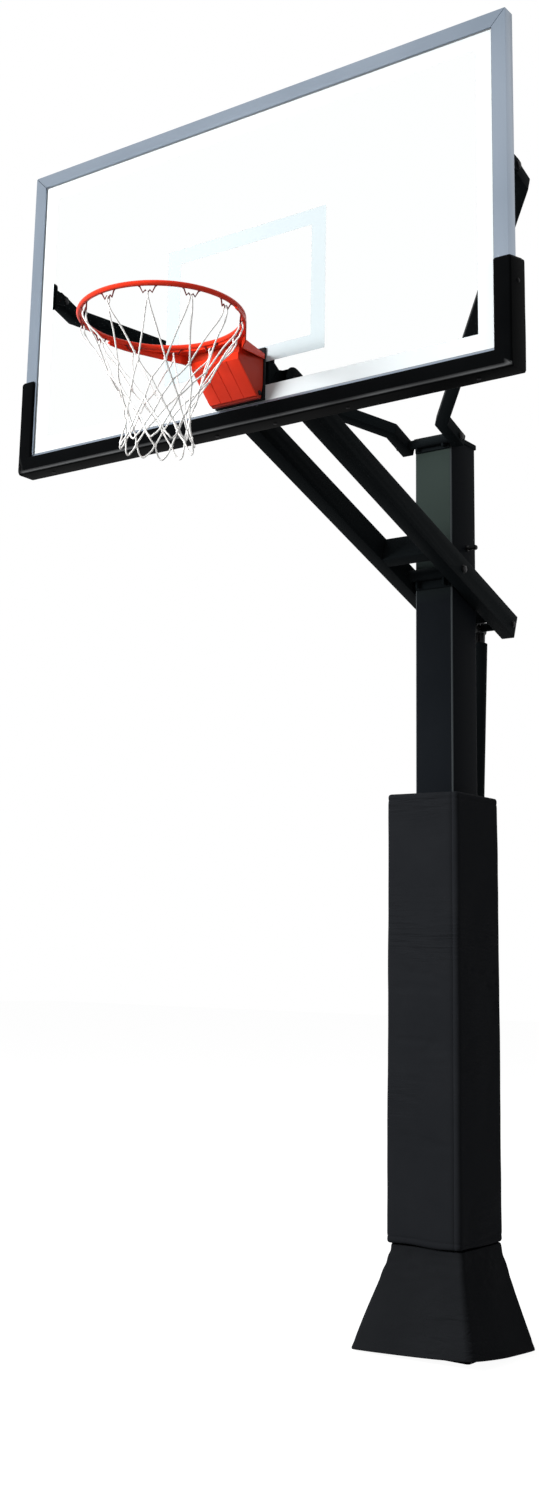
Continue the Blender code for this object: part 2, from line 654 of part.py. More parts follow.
def make_mount_bracket(paint, plated):
    """The black bracket behind the glass: it takes the rim bolts and the front pivot of the lower arms."""
    glass_back = GLASS_Y + GLASS_T + FIT
    low = EDGE_Z + RAIL_FACE + SEAL_T + 3 * FIT
    rear = RAIL_BACK_Y + FIT
    plate_t = 0.008
    bracket = box("rim_mount_bracket", (-MOUNT_HALF, glass_back, low),
                  (MOUNT_HALF, rear + plate_t, EDGE_Z + MOUNT_HIGH), paint, bevel=0.002)
    skirt = box("mount_skirt", (-MOUNT_HALF, rear, EDGE_Z + 0.004), (MOUNT_HALF, rear + plate_t, low + 0.01),
                None, collection=CUTTERS)
    weld(bracket, skirt)
    channel_low = EDGE_Z + RAIL_FACE + 0.014
    channel = box("mount_channel", (-MOUNT_HALF + 0.012, glass_back + 0.006, channel_low),
                  (MOUNT_HALF - 0.012, rear, EDGE_Z + MOUNT_HIGH - 0.012), None, collection=CUTTERS)
    window = box("mount_window", (-0.030, rear - 0.01, channel_low + 0.03),
                 (0.030, rear + plate_t + 0.01, EDGE_Z + MOUNT_HIGH - 0.040), None, collection=CUTTERS)
    boolean(bracket, channel)
    boolean(bracket, window)
    for side in (-1, 1):
        top = LOWER_FRONT_Z + 0.058
        outline = [(rear + 0.004, LOWER_FRONT_Z - 0.050), (FRONT_Y, LOWER_FRONT_Z - 0.030)]
        outline += arc((FRONT_Y, LOWER_FRONT_Z), 0.030, -90, 60, 10)[1:]
        outline += [(rear + 0.020, top), (rear + 0.004, top)]
        ear = outline_solid("mount_ear", [outline], 0.008, None, None, CUTTERS, "YZ")
        ear.location = (side * (ARM_IN - FIT - 0.004), 0, 0)
        weld(bracket, ear)
    reach = ARM_OUT + FIT
    bore(bracket, BOLT_R + FIT, (-reach, FRONT_Y, LOWER_FRONT_Z), (reach, FRONT_Y, LOWER_FRONT_Z))
    for x, z in rim_bolt_places():
        bore(bracket, RIM_BOLT_R + FIT, (x, glass_back - 0.01, z), (x, rear + plate_t + 0.01, z), 16)
    hex_bolt("board_pivot_bolt", BOLT_R, (-reach, FRONT_Y, LOWER_FRONT_Z), (reach, FRONT_Y, LOWER_FRONT_Z), plated)
    for number, (x, z) in enumerate(rim_bolt_places()):
        hex_bolt("rim_bolt_" + str(number + 1), RIM_BOLT_R, (x, MOUNT_FACE_Y - FIT, z),
                 (x, rear + plate_t + FIT, z), plated, head=0.0095, head_t=0.0065)


def make_end_brackets(paint, plated):
    """A fork on the rear of each side rail, with the pin of an upper arm."""
    rear = RAIL_BACK_Y + FIT
    ear_x = UPPER_ARM / 2 + 0.5 * MM
    ear_t = 0.005
    for side, word in ((-1, "left"), (1, "right")):
        x = side * RAIL_X
        name = "arm_end_bracket_" + word
        base = outline_solid(name, [rounded_rectangle(0.068, 0.096, 0.020, 5)], 0.006, paint, plane="XZ")
        base.location = (x, rear + 0.003, UPPER_FRONT_Z)
        for way in (-1, 1):
            outline = [(rear + 0.003, UPPER_FRONT_Z - 0.026), (FRONT_Y, UPPER_FRONT_Z - 0.018)]
            outline += arc((FRONT_Y, UPPER_FRONT_Z), 0.018, -90, 90, 8)[1:]
            outline += [(rear + 0.003, UPPER_FRONT_Z + 0.026)]
            ear = outline_solid(name + "_ear", [outline], ear_t, None, None, CUTTERS, "YZ")
            ear.location = (x + way * (ear_x + ear_t / 2), 0, 0)
            weld(base, ear)
        out = ear_x + ear_t + FIT
        bore(base, PIN_R + FIT, (x - out, FRONT_Y, UPPER_FRONT_Z), (x + out, FRONT_Y, UPPER_FRONT_Z), 20)
        hex_bolt("arm_end_pin_" + word, PIN_R, (x - out, FRONT_Y, UPPER_FRONT_Z), (x + out, FRONT_Y, UPPER_FRONT_Z),
                 plated, head=0.0125, head_t=0.006)


def make_backboard_pad(vinyl, dark):
    """The U-shaped moulding round the lower edge and lower corners, with its push rivets."""
    out = BOARD_W / 2 + PAD_OUT
    inn = BOARD_W / 2 - PAD_SIDE_LIP
    low, lip, top = EDGE_Z - PAD_UNDER, EDGE_Z + PAD_LIP, EDGE_Z + PAD_SIDE_H
    round_r = 0.014
    peak_r = 0.012
    outline = arc((-out + round_r, low + round_r), round_r, 180, 270, 5)
    outline += arc((out - round_r, low + round_r), round_r, 270, 360, 5)
    outline += arc((out - round_r, top - round_r), round_r, 0, 90, 5)
    outline += arc((inn + peak_r, top - peak_r), peak_r, 90, 180, 4)
    outline += arc((inn - round_r, lip + round_r), round_r, 0, -90, 4)
    outline += arc((-inn + round_r, lip + round_r), round_r, 270, 180, 4)
    outline += arc((-inn - peak_r, top - peak_r), peak_r, 0, 90, 4)
    outline += arc((-out + round_r, top - round_r), round_r, 90, 180, 5)
    deep = PAD_OUT + PAD_DEEP
    pad = outline_solid("backboard_pad", [outline], deep, vinyl, plane="XZ")
    pad.location = (0, FACE_Y - PAD_OUT + deep / 2, 0)
    round_edges(pad, PAD_ROUND, 3, 50)
    room = FIT + 0.2 * MM
    cavity = box("backboard_pad_cavity",
                 (-BOARD_W / 2 - room, FACE_Y - room, EDGE_Z - room),
                 (BOARD_W / 2 + room, FACE_Y + PAD_DEEP - PAD_REAR_WALL, top + 0.1),
                 None, collection=CUTTERS)
    boolean(pad, cavity)
    y = FACE_Y + RIVET_BACK
    number = 1
    for x in [-a for a in reversed(RIVET_BELOW)] + list(RIVET_BELOW):
        start = Vector((x, y, low - FIT))
        number = push_rivet(pad, number, start, Vector((0, 0, 1)), PAD_UNDER, dark)
    for side in (-1, 1):
        start = Vector((side * (out + FIT), y, EDGE_Z + RIVET_SIDE_Z))
        number = push_rivet(pad, number, start, Vector((-side, 0, 0)), PAD_OUT, dark)
    return pad


def push_rivet(pad, number, start, inward, wall, material):
    """A domed rivet through the pad into the rail behind it, in bores with play."""
    name = "pad_rivet_" + str(number)
    stem_end = start + inward * (wall + FIT + RAIL_WALL + 0.004)
    rivet = rod(name, RIVET_STEM, start - inward * 0.0005, stem_end, material, sides=12)
    bm = bmesh.new()
    bmesh.ops.create_uvsphere(bm, u_segments=14, v_segments=6, radius=RIVET_R)
    bmesh.ops.scale(bm, vec=(1, 1, 0.4), verts=bm.verts)
    bmesh.ops.bisect_plane(bm, geom=bm.verts[:] + bm.edges[:] + bm.faces[:], plane_co=(0, 0, 0),
                           plane_no=(0, 0, -1), clear_outer=True)
    bmesh.ops.holes_fill(bm, edges=bm.edges, sides=0)
    turn = (-inward).to_track_quat("Z", "Y").to_matrix().to_4x4()
    bmesh.ops.transform(bm, matrix=turn, verts=bm.verts)
    dome = add_object(name + "_dome", mesh_from(bm, name + "_dome"), None, None, CUTTERS)
    dome.location = start
    weld(rivet, dome)
    bore(pad, RIVET_STEM + FIT, start - inward * 0.01, start + inward * (wall + 0.002), 12)
    hosts = ["frame_bottom_rail"] if abs(inward.z) > 0.5 else ["frame_left_rail", "frame_right_rail"]
    for host in hosts:
        rail_piece = bpy.data.objects[host]
        if abs(inward.z) > 0.5 or (start.x > 0) == (host == "frame_right_rail"):
            bore(rail_piece, RIVET_STEM + FIT, start, stem_end + inward * 0.004, 12)
    return number + 1


def make_rim_mount(dark, plated, bright):
    """The fixed plate on the glass, with the lugs of the breakaway hinge, its pin and its spring."""
    back = MOUNT_FACE_Y + MOUNT_T
    plate = box("rim_base_plate", (-MOUNT_HALF, MOUNT_FACE_Y, EDGE_Z + MOUNT_LOW),
                (MOUNT_HALF, back, EDGE_Z + MOUNT_HIGH), dark, bevel=0.0015)
    hinge = hinge_place()
    for side in (-1, 1):
        outline = [(MOUNT_FACE_Y + 0.003, hinge.z - LUG_R), (hinge.y, hinge.z - LUG_R)]
        outline += arc((hinge.y, hinge.z), LUG_R, 270, 90, 8)[1:]
        outline += [(MOUNT_FACE_Y + 0.003, hinge.z + LUG_R)]
        lug = outline_solid("rim_lug", [outline], 0.006, None, None, CUTTERS, "YZ")
        lug.location = (side * 0.076, 0, 0)
        weld(plate, lug)
    bore(plate, HINGE_PIN_R + FIT, (-0.1, hinge.y, hinge.z), (0.1, hinge.y, hinge.z), 20)
    for x, z in rim_bolt_places():
        bore(plate, RIM_BOLT_R + FIT, (x, MOUNT_FACE_Y - 0.01, z), (x, back + 0.01, z), 16)
    reach = HOUSING_HALF + FIT
    hex_bolt("rim_hinge_pin", HINGE_PIN_R, (-reach, hinge.y, hinge.z), (reach, hinge.y, hinge.z), plated,
             head=0.0085, head_t=0.0035)
    make_hinge_spring(bright, hinge)
    return plate


def hinge_place():
    return Vector((0, MOUNT_FACE_Y - HINGE_OUT, EDGE_Z + HINGE_UP))


def make_hinge_spring(steel, hinge):
    """A torsion spring wound round the hinge pin."""
    radius = HINGE_PIN_R + FIT + SPRING_WIRE + 0.1 * MM
    pitch = 2 * SPRING_WIRE + 0.6 * MM
    steps = 11
    points = []
    for step in range(SPRING_TURNS * steps + 1):
        turn = 2 * math.pi * step / steps
        x = pitch * (step / steps - SPRING_TURNS / 2)
        points.append((x, radius * math.cos(turn), radius * math.sin(turn)))
    curve = bpy.data.curves.new("rim_hinge_spring", "CURVE")
    curve.dimensions = "3D"
    curve.bevel_depth = SPRING_WIRE
    curve.bevel_resolution = 1
    curve.use_fill_caps = True
    spline = curve.splines.new("POLY")
    spline.points.add(len(points) - 1)
    for point, place in zip(spline.points, points):
        point.co = (*place, 1.0)
    spring = bpy.data.objects.new("rim_hinge_spring", curve)
    PARTS.objects.link(spring)
    spring.location = hinge
    curve.materials.append(steel)
    print("hinge spring: least gap between turns", round((pitch - 2 * SPRING_WIRE) / MM, 2), "mm")


def cover_corner(inset, z=None):
    """A point (y, z) on the cover's inclined face set in by inset: at height z, or where it turns upright."""
    front = MOUNT_FACE_Y - HOUSING_DEEP
    low = Vector((MOUNT_FACE_Y - COVER_FOOT, EDGE_Z + MOUNT_LOW + COVER_UP))
    high = Vector((front, EDGE_Z + MOUNT_LOW + COVER_RISE))
    along = (high - low).normalized()
    start = low + Vector((along.y, -along.x)) * inset
    if z is None:
        step = (front + inset - start.x) / along.x
    else:
        step = (z - start.y) / along.y
    return tuple(start + along * step)


def housing_side(inset):
    """Side outline of the rim housing, shrunk by a wall."""
    hinge = hinge_place()
    foot = MOUNT_FACE_Y - 0.001
    low = hinge.z - HOUSING_FLOOR + inset
    behind = COVER_T + FIT + inset
    roof = RING_Z - 2 * RING_ROD - FLANGE_T - 2 * FIT
    return [
        (foot, roof),
        (MOUNT_FACE_Y - HOUSING_DEEP + behind, roof),
        cover_corner(behind),
        cover_corner(behind, low),
        (hinge.y + 0.006, low),
        (foot, hinge.z + 0.031),
    ]


def make_housing(red, red_dark, parent):
    """The folded box under the ring, and its inclined ribbed cover."""
    base = parent.location
    local = [(y - base.y, z - base.z) for y, z in housing_side(0.0)]
    housing = outline_solid("rim_housing", [local], 2 * HOUSING_HALF, red_dark, parent, plane="YZ")
    inner = [(y - base.y, z - base.z) for y, z in housing_side(HOUSING_T)]
    inner[0] = (inner[0][0] + 0.03, inner[0][1] + 0.02)
    inner[1] = (inner[1][0], inner[1][1] + 0.02)
    inner[4] = (inner[4][0] + 0.03, inner[4][1])
    inner[5] = (inner[5][0] + 0.03, inner[5][1])
    hollow = outline_solid("rim_housing_hollow", [inner], 2 * (HOUSING_HALF - HOUSING_T), None, parent,
                           CUTTERS, "YZ")
    boolean(housing, hollow)
    bore(housing, HINGE_PIN_R + PIN_PLAY, (-0.1, 0, 0), (0.1, 0, 0), 20, parent)
    make_cover(red, parent)


def make_cover(red, parent):
    """A plate with three upright grooves, folded over at its top edge."""
    base = parent.location
    front = MOUNT_FACE_Y - HOUSING_DEEP
    foot = EDGE_Z + MOUNT_LOW + COVER_UP
    top = EDGE_Z + COVER_TOP
    outline = [cover_corner(0.0, foot), cover_corner(0.0), (front, top), (front + COVER_T, top)]
    outline += [cover_corner(COVER_T), cover_corner(COVER_T, foot)]
    points = [(y - base.y, z - base.z) for y, z in outline]
    low, high = Vector((0, *points[0])), Vector((0, *points[1]))
    along = (high - low).normalized()
    out = Vector((0, -along.z, along.y))
    cover = outline_solid("rim_cover", [points], 2 * HOUSING_HALF, red, parent, plane="YZ")
    round_edges(cover, 0.0012, 2, 30)
    middle = (low + high) / 2
    for number in (-1, 0, 1):
        x = number * HOUSING_HALF / 2
        groove = rod("rim_cover_groove", 0.0022, middle - along * 0.2, middle + along * 0.2, None, parent, 12,
                     CUTTERS)
        groove.location.x = x
        groove.location += out * 0.0006
        boolean(cover, groove)


def make_flange(red, parent):
    """The plate under the ring with its two folded-down outer edges."""
    base = parent.location
    top_z = RING_Z - 2 * RING_ROD - FIT
    rear_y = MOUNT_FACE_Y - 0.002
    rear_x = HOUSING_HALF + 0.0060
    shoulder = (FLANGE_SHOULDER[0], RING_Y + FLANGE_SHOULDER[1])
    waist = (FLANGE_WAIST[0], RING_Y + FLANGE_WAIST[1])
    rear = (rear_x, rear_y)
    outside = arc((0, RING_Y), RING_MID + 0.0085, FLANGE_FROM, FLANGE_LEAVE, 4) + [shoulder, waist, rear]
    inside = arc((0, RING_Y), RING_MID + 0.0005, FLANGE_FROM, 180 - FLANGE_FROM, 26)
    outline = inside + [(-x, y) for x, y in outside] + outside[::-1]
    local = [(x, y - base.y) for x, y in outline]
    plate = outline_solid("rim_flange_plate", [local], FLANGE_T, red, parent)
    plate.location = (0, 0, top_z - FLANGE_T / 2 - base.z)
    depths = [0.003 + 0.0022 * step for step in range(5)] + [0.020, FLANGE_FOLD, 0.010]
    for side in (-1, 1):
        folded_edge(plate, outside, depths, side, top_z, base, parent)
    return plate


def folded_edge(plate, path, depths, side, top_z, base, parent):
    """The thin edge turned down along one outer side of the flange plate, deeper near the housing."""
    points = [Vector(p) for p in path]
    points[0] += (points[1] - points[0]) * 0.2
    bm = bmesh.new()
    sections = []
    for number, (point, depth) in enumerate(zip(points, depths)):
        ahead = points[min(number + 1, len(points) - 1)]
        behind = points[max(number - 1, 0)]
        along = (ahead - behind).normalized()
        inward = Vector((-along.y, along.x))
        section = []
        for offset, z in (
            (-0.0004, top_z - 0.002),
            (0.0036, top_z - 0.002),
            (0.0036, top_z - FLANGE_T - depth),
            (-0.0004, top_z - FLANGE_T - depth),
        ):
            place = point + inward * offset
            section.append(bm.verts.new((side * place.x, place.y - base.y, z - base.z)))
        sections.append(section)
    for first, second in zip(sections, sections[1:]):
        for corner in range(4):
            after = (corner + 1) % 4
            bm.faces.new((first[corner], first[after], second[after], second[corner]))
    bm.faces.new(sections[0])
    bm.faces.new(sections[-1][::-1])
    strip = add_object("rim_flange_fold", mesh_from(bm, "rim_flange_fold"), None, parent, CUTTERS)
    weld(plate, strip)


def make_ring(red, parent):
    """The ring with its twelve net hooks of bent wire."""
    base = parent.location
    bpy.ops.mesh.primitive_torus_add(major_radius=RING_MID, minor_radius=RING_ROD, major_segments=64,
                                     minor_segments=10)
    ring = bpy.context.object
    for old in list(ring.users_collection):
        old.objects.unlink(ring)
    PARTS.objects.link(ring)
    ring.name = "rim_ring"
    ring.data.materials.append(red)
    ring.parent = parent
    ring.location = Vector((0, RING_Y, ROD_Z)) - base
    smooth(ring.data)
    curve = bpy.data.curves.new("net_hooks", "CURVE")
    curve.dimensions = "3D"
    curve.bevel_depth = HOOK_WIRE
    curve.bevel_resolution = 0
    curve.use_fill_caps = True
    steps = (
        (-HOOK_HALF, 0.0),
        (-HOOK_HALF * 0.54, -1.0),
        (-HOOK_HALF * 0.27, -HOOK_PEAK),
        (0.0, -1.0),
        (HOOK_HALF * 0.27, -HOOK_PEAK),
        (HOOK_HALF * 0.54, -1.0),
        (HOOK_HALF, 0.0),
    )
    for number in range(HOOKS):
        turn = 2 * math.pi * number / HOOKS
        radial = Vector((math.cos(turn), math.sin(turn), 0))
        tangent = Vector((-radial.y, radial.x, 0))
        spline = curve.splines.new("POLY")
        spline.points.add(len(steps) - 1)
        for point, (across, drop) in zip(spline.points, steps):
            at_ring = drop == 0.0
            z = -RING_ROD * 0.55 if at_ring else -RING_ROD + drop * HOOK_DROP
            reach = RING_MID - (0.003 if at_ring else HOOK_IN)
            point.co = (*(radial * reach + tangent * across + Vector((0, 0, z))), 1.0)
    guide = bpy.data.objects.new("net_hooks_wire", curve)
    CUTTERS.objects.link(guide)
    graph = bpy.context.evaluated_depsgraph_get()
    mesh = bpy.data.meshes.new_from_object(guide.evaluated_get(graph), depsgraph=graph)
    bpy.data.objects.remove(guide, do_unlink=True)
    bm = bmesh.new()
    bm.from_mesh(mesh)
    bmesh.ops.remove_doubles(bm, verts=bm.verts, dist=0.00001)
    hooks = add_object("net_hooks", mesh_from(bm, "net_hooks"), None, parent, CUTTERS)
    hooks.location = ring.location
    weld(ring, hooks)
    return ring


def make_net(cord, parent):
    """A cord lattice of diamonds that narrows and flares again, open at the top and at the bottom."""
    base = parent.location
    bm = bmesh.new()
    rows = []
    for number, (drop, inside) in enumerate(NET_ROWS):
        radius = RING_MID - HOOK_IN - inside
        row = []
        for column in range(HOOKS):
            turn = 2 * math.pi * (column + 0.5 * (number % 2)) / HOOKS
            place = (radius * math.cos(turn), RING_Y + radius * math.sin(turn) - base.y,
                     NET_TOP_Z - drop - base.z)
            row.append(bm.verts.new(place))
        rows.append(row)
    for number in range(len(rows) - 2):
        for column in range(HOOKS):
            shift = -1 if number % 2 == 0 else 1
            upper = rows[number][column]
            lower = rows[number + 2][column]
            beside = rows[number + 1][column]
            other = rows[number + 1][(column + shift) % HOOKS]
            pair = (beside, other) if shift < 0 else (other, beside)
            bm.faces.new((upper, pair[1], lower, pair[0]))
    bmesh.ops.recalc_face_normals(bm, faces=bm.faces)
    mesh = bpy.data.meshes.new("net")
    bm.to_mesh(mesh)
    bm.free()
    net = add_object("net", mesh, cord, parent)
    wire = net.modifiers.new("Wireframe", "WIREFRAME")
    wire.thickness = NET_CORD
    wire.use_even_offset = True
    wire.use_boundary = True
    wire.use_replace = True
    wire.offset = 0.0
    return net


def make_wrap(vinyl, vinyl_dark, webbing):
    """The padded sleeve round the front and sides of the post, its foot and its rear straps."""
    front = -(POST_D / 2 + WRAP_FRONT)
    back = POST_D / 2 + WRAP_BACK
    inside = POST_W / 2 + WRAP_FIT
    outline = arc((WRAP_HALF - WRAP_ROUND, front + WRAP_ROUND), WRAP_ROUND, 270, 360, 5)
    outline += arc((WRAP_HALF - WRAP_ROUND, back - WRAP_ROUND), WRAP_ROUND, 0, 90, 4)
    outline += [(inside, back), (inside, -POST_D / 2 - WRAP_FIT), (-inside, -POST_D / 2 - WRAP_FIT), (-inside, back)]
    outline += arc((-WRAP_HALF + WRAP_ROUND, back - WRAP_ROUND), WRAP_ROUND, 90, 180, 4)
    outline += arc((-WRAP_HALF + WRAP_ROUND, front + WRAP_ROUND), WRAP_ROUND, 180, 270, 5)
    height = WRAP_HIGH - WRAP_LOW
    wrap = outline_solid("post_pad", [outline], height, vinyl)
    wrap.location = (0, 0, WRAP_LOW + height / 2)
    round_edges(wrap, 0.006, 2, 50)
    make_foot(vinyl_dark, front, back)
    for number, z in enumerate(STRAP_Z):
        box("pad_strap_" + str(number + 1), (-WRAP_HALF + 0.004, back + FIT, z - STRAP_W / 2),
            (WRAP_HALF - 0.004, back + FIT + STRAP_T, z + STRAP_W / 2), webbing, bevel=0.001, segments=1)


def make_foot(vinyl, front, back):
    """The flared foot: a rectangle that widens to the ground, as a shell."""
    bm = bmesh.new()
    rings = []
    low_front, low_back = front - FOOT_FRONT, back + FOOT_BACK
    top_half, top_front = WRAP_HALF - FOOT_TOP_IN, front + FOOT_TOP_BACK
    levels = (
        (0.0055, FOOT_HALF, low_front, low_back, 0.040),
        (0.030, FOOT_HALF - 0.006, low_front + 0.005, low_back - 0.005, 0.030),
        (WRAP_LOW * 0.5, (FOOT_HALF + top_half) / 2 - 0.006, (top_front + low_front) / 2 + 0.004,
         (back + low_back) / 2 - 0.004, 0.022),
        (WRAP_LOW - 0.5 * MM, top_half, top_front, back, WRAP_ROUND),
    )
    for z, half, y0, y1, corner in levels:
        points = rounded_rectangle(2 * half, y1 - y0, corner, 4, (0, (y0 + y1) / 2))
        rings.append([bm.verts.new((x, y, z)) for x, y in points])
    for lower, upper in zip(rings, rings[1:]):
        count = len(lower)
        for number in range(count):
            after = (number + 1) % count
            bm.faces.new((lower[number], lower[after], upper[after], upper[number]))
    foot = add_object("post_pad_foot", mesh_from(bm, "post_pad_foot"), vinyl)
    shell = foot.modifiers.new("Solidify", "SOLIDIFY")
    shell.thickness = FOOT_WALL
    shell.offset = -1.0
    shell.use_even_offset = True
    smooth(foot.data, 50)


def main():
    global PARTS, CUTTERS
    clear_scene()
    PARTS = new_collection("basketball_goal")
    CUTTERS = new_collection("cutters")
    CUTTERS.hide_render = True
    black = finish("black_powder_coat", (0.018, 0.021, 0.024), 0.38, 0.0)
    zinc = finish("zinc_plated_steel", (0.48, 0.48, 0.46), 0.35, 1.0)
    bolt_dark = finish("black_plated_steel", (0.045, 0.046, 0.048), 0.40, 1.0)
    aluminium = finish("satin_aluminium", (0.47, 0.54, 0.62), 0.38, 1.0)
    rubber = finish("grey_seal", (0.12, 0.12, 0.12), 0.8)
    glass = finish("clear_glass", (0.90, 0.96, 0.95), 0.03, 0.0, 0.25)
    pad_black = finish("moulded_black_foam", (0.010, 0.011, 0.011), 0.55)
    plastic = finish("black_plastic", (0.02, 0.02, 0.02), 0.5)
    red = finish("red_powder_coat", (0.62, 0.045, 0.015), 0.35)
    red_dark = finish("red_powder_coat_folded", (0.45, 0.035, 0.015), 0.38)
    cord = finish("white_cord", (0.86, 0.85, 0.81), 0.9)
    vinyl = finish("charcoal_vinyl", (0.022, 0.023, 0.025), 0.45)
    webbing = finish("black_webbing", (0.02, 0.02, 0.02), 0.9)

    make_base(black)
    make_post(black)
    make_pivots(black, bolt_dark)
    make_actuator(black, bolt_dark, bolt_dark)

    lower = joint_empty("lower_arms_axis", (0, PIVOT_Y, LOWER_PIVOT_Z), -LIFT)
    upper = joint_empty("upper_arms_axis", (0, PIVOT_Y, UPPER_PIVOT_Z), -LIFT)
    hinge = joint_empty("rim_axis", hinge_place())
    make_lower_arms(black, bolt_dark, lower)
    upper_arm("upper_arm_left", -1, black, upper)
    upper_arm("upper_arm_right", 1, black, upper)

    make_frame(aluminium, rubber, glass)
    make_mount_bracket(black, bolt_dark)
    make_end_brackets(black, bolt_dark)
    make_backboard_pad(pad_black, plastic)

    make_rim_mount(plastic, bolt_dark, zinc)
    make_housing(red, red_dark, hinge)
    make_flange(red, hinge)
    make_ring(red, hinge)
    make_net(cord, hinge)

    make_wrap(vinyl, vinyl, webbing)


main()
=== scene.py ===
# %% [markdown]
# # A basketball goal on its post
# This lesson dresses a finished CAD model of a ground-mounted basketball goal for a studio picture.
# The frame of the model is fixed: each piece made here goes where the model says and moves with one of its bodies.

import math
import random

import bmesh
import bpy
from mathutils import Matrix, Vector, noise


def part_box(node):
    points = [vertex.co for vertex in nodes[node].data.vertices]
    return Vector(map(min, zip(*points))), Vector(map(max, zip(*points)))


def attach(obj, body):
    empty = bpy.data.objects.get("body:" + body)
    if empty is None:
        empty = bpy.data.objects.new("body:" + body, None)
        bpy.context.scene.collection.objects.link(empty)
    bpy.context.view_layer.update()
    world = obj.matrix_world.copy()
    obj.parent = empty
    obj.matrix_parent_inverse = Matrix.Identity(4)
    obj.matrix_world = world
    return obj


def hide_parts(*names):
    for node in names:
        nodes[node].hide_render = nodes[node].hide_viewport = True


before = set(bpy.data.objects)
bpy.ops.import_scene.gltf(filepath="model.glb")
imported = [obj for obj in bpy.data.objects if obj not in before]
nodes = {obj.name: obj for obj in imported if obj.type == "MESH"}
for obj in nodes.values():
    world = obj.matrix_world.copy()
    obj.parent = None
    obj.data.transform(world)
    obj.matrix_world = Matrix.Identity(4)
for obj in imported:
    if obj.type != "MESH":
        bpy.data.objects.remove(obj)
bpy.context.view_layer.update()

# %% [markdown]
# ## Camera
# The picture was taken from the front right, at chest height, looking up. The place and turn of the camera
# were worked out from the known size of the board and the ring, so the CAD model lines up with the photograph.
# A camera matrix built from three directions is the plainest way to enter such a result.

# %% Camera at the photograph's angle
def add_object(name, data):
    made = bpy.data.objects.new(name, data)
    bpy.context.scene.collection.objects.link(made)
    return made


CAMERA_PLACE = (2.784766756706178, -4.94912820641744, 1.2314085341721135)
YAW = 0.6416944251355274
PITCH = 0.2125576246746509
ROLL = 0.022321133564016406
FOCAL_MM = 38.2998
SENSOR_MM = 36.0
SHIFT = (0.01741, -0.08874)
ahead = Vector((-math.sin(YAW) * math.cos(PITCH), math.cos(YAW) * math.cos(PITCH), math.sin(PITCH)))
level = Vector((math.cos(YAW), math.sin(YAW), 0.0))
upward = level.cross(ahead)
right = level * math.cos(ROLL) + upward * math.sin(ROLL)
up = upward * math.cos(ROLL) - level * math.sin(ROLL)
camera_data = bpy.data.cameras.new("studio_camera")
camera_data.lens = FOCAL_MM
camera_data.sensor_width = SENSOR_MM
camera_data.shift_x, camera_data.shift_y = SHIFT
camera_data.clip_start = 0.05
camera_data.clip_end = 200.0
camera = add_object("studio_camera", camera_data)
turn = Matrix((right, up, -ahead)).transposed().to_4x4()
camera.matrix_world = Matrix.Translation(CAMERA_PLACE) @ turn
bpy.context.scene.camera = camera
bpy.context.scene.view_settings.view_transform = "Standard"
print("camera", [round(v, 3) for v in camera.location])

# %% [markdown]
# ## Node helpers
# Every finish below is a small shader tree. A few helpers keep the cells short: they add a node with its values,
# start a material and hand back its Principled shader, spread a value over a range, and blend two colours.


# %% Helpers for shader trees
MIX_FIRST, MIX_SECOND, MIX_RESULT = 6, 7, 2  # a Mix node's colour sockets, which share names with others


def add_node(tree, kind, settings=None, **values):
    made = tree.nodes.new(kind)
    for key, value in (settings or {}).items():
        setattr(made, key, value)
    for key, value in values.items():
        made.inputs[key.replace("_", " ")].default_value = value
    return made


def link(tree, source, result, target, entry):
    """Joins one node's result to another's entry. Each is given by its name or its number."""
    tree.links.new(source.outputs[result], target.inputs[entry])


def new_material(name, **values):
    made = bpy.data.materials.new(name)
    made.use_nodes = True
    shader = made.node_tree.nodes["Principled BSDF"]
    for key, value in values.items():
        shader.inputs[key.replace("_", " ")].default_value = value
    return made, made.node_tree, shader


def map_range(tree, value, **ends):
    """Spreads a value from one range to another; an end that isn't given is 0 or 1."""
    made = add_node(tree, "ShaderNodeMapRange", None, **ends)
    tree.links.new(value, made.inputs["Value"])
    return made.outputs["Result"]


def math_of(tree, operation, *values):
    """A Math node's result. Each value is another node's result or a plain number."""
    made = add_node(tree, "ShaderNodeMath", {"operation": operation})
    for number, value in enumerate(values):
        if isinstance(value, float):
            made.inputs[number].default_value = value
        else:
            tree.links.new(value, made.inputs[number])
    return made.outputs[0]


def blend_colours(tree, factor, first, second):
    made = add_node(tree, "ShaderNodeMix", {"data_type": "RGBA"})
    made.inputs[MIX_FIRST].default_value = (*first, 1.0)
    made.inputs[MIX_SECOND].default_value = (*second, 1.0)
    tree.links.new(factor, made.inputs[0])
    return made.outputs[MIX_RESULT]


def paint_over(tree, shader, mask, colour):
    """Lays one more colour over a material's base colour, where the mask is 1."""
    made = add_node(tree, "ShaderNodeMix", {"data_type": "RGBA"})
    made.inputs[MIX_SECOND].default_value = (*colour, 1.0)
    tree.links.new(mask, made.inputs[0])
    tree.links.new(shader.inputs["Base Color"].links[0].from_socket, made.inputs[MIX_FIRST])
    link(tree, made, MIX_RESULT, shader, "Base Color")


def add_bump(tree, shader, height, strength, depth, **settings):
    """Raises the surface by a height that changes over it. The depth is in metres."""
    made = add_node(tree, "ShaderNodeBump", settings, Strength=strength, Distance=depth)
    tree.links.new(height, made.inputs["Height"])
    link(tree, made, "Normal", shader, "Normal")
    return made


# %% [markdown]
# ## Studio
# The photograph has a plain white ground. The world and the floor are white for the camera, for reflections and
# through glass, and softer for the light that they give, so black paint stays black. Light that has met a matt
# surface is not given that white either, or the arms behind the glass would turn grey. One large soft lamp from
# the front left is the key, a weaker one lifts the top faces, and the weakest fills from the right.

# %% World, floor and lamps
AMBIENT = 0.18
FLOOR_WHITE = 0.95
FLOOR_SIZE = 30.0


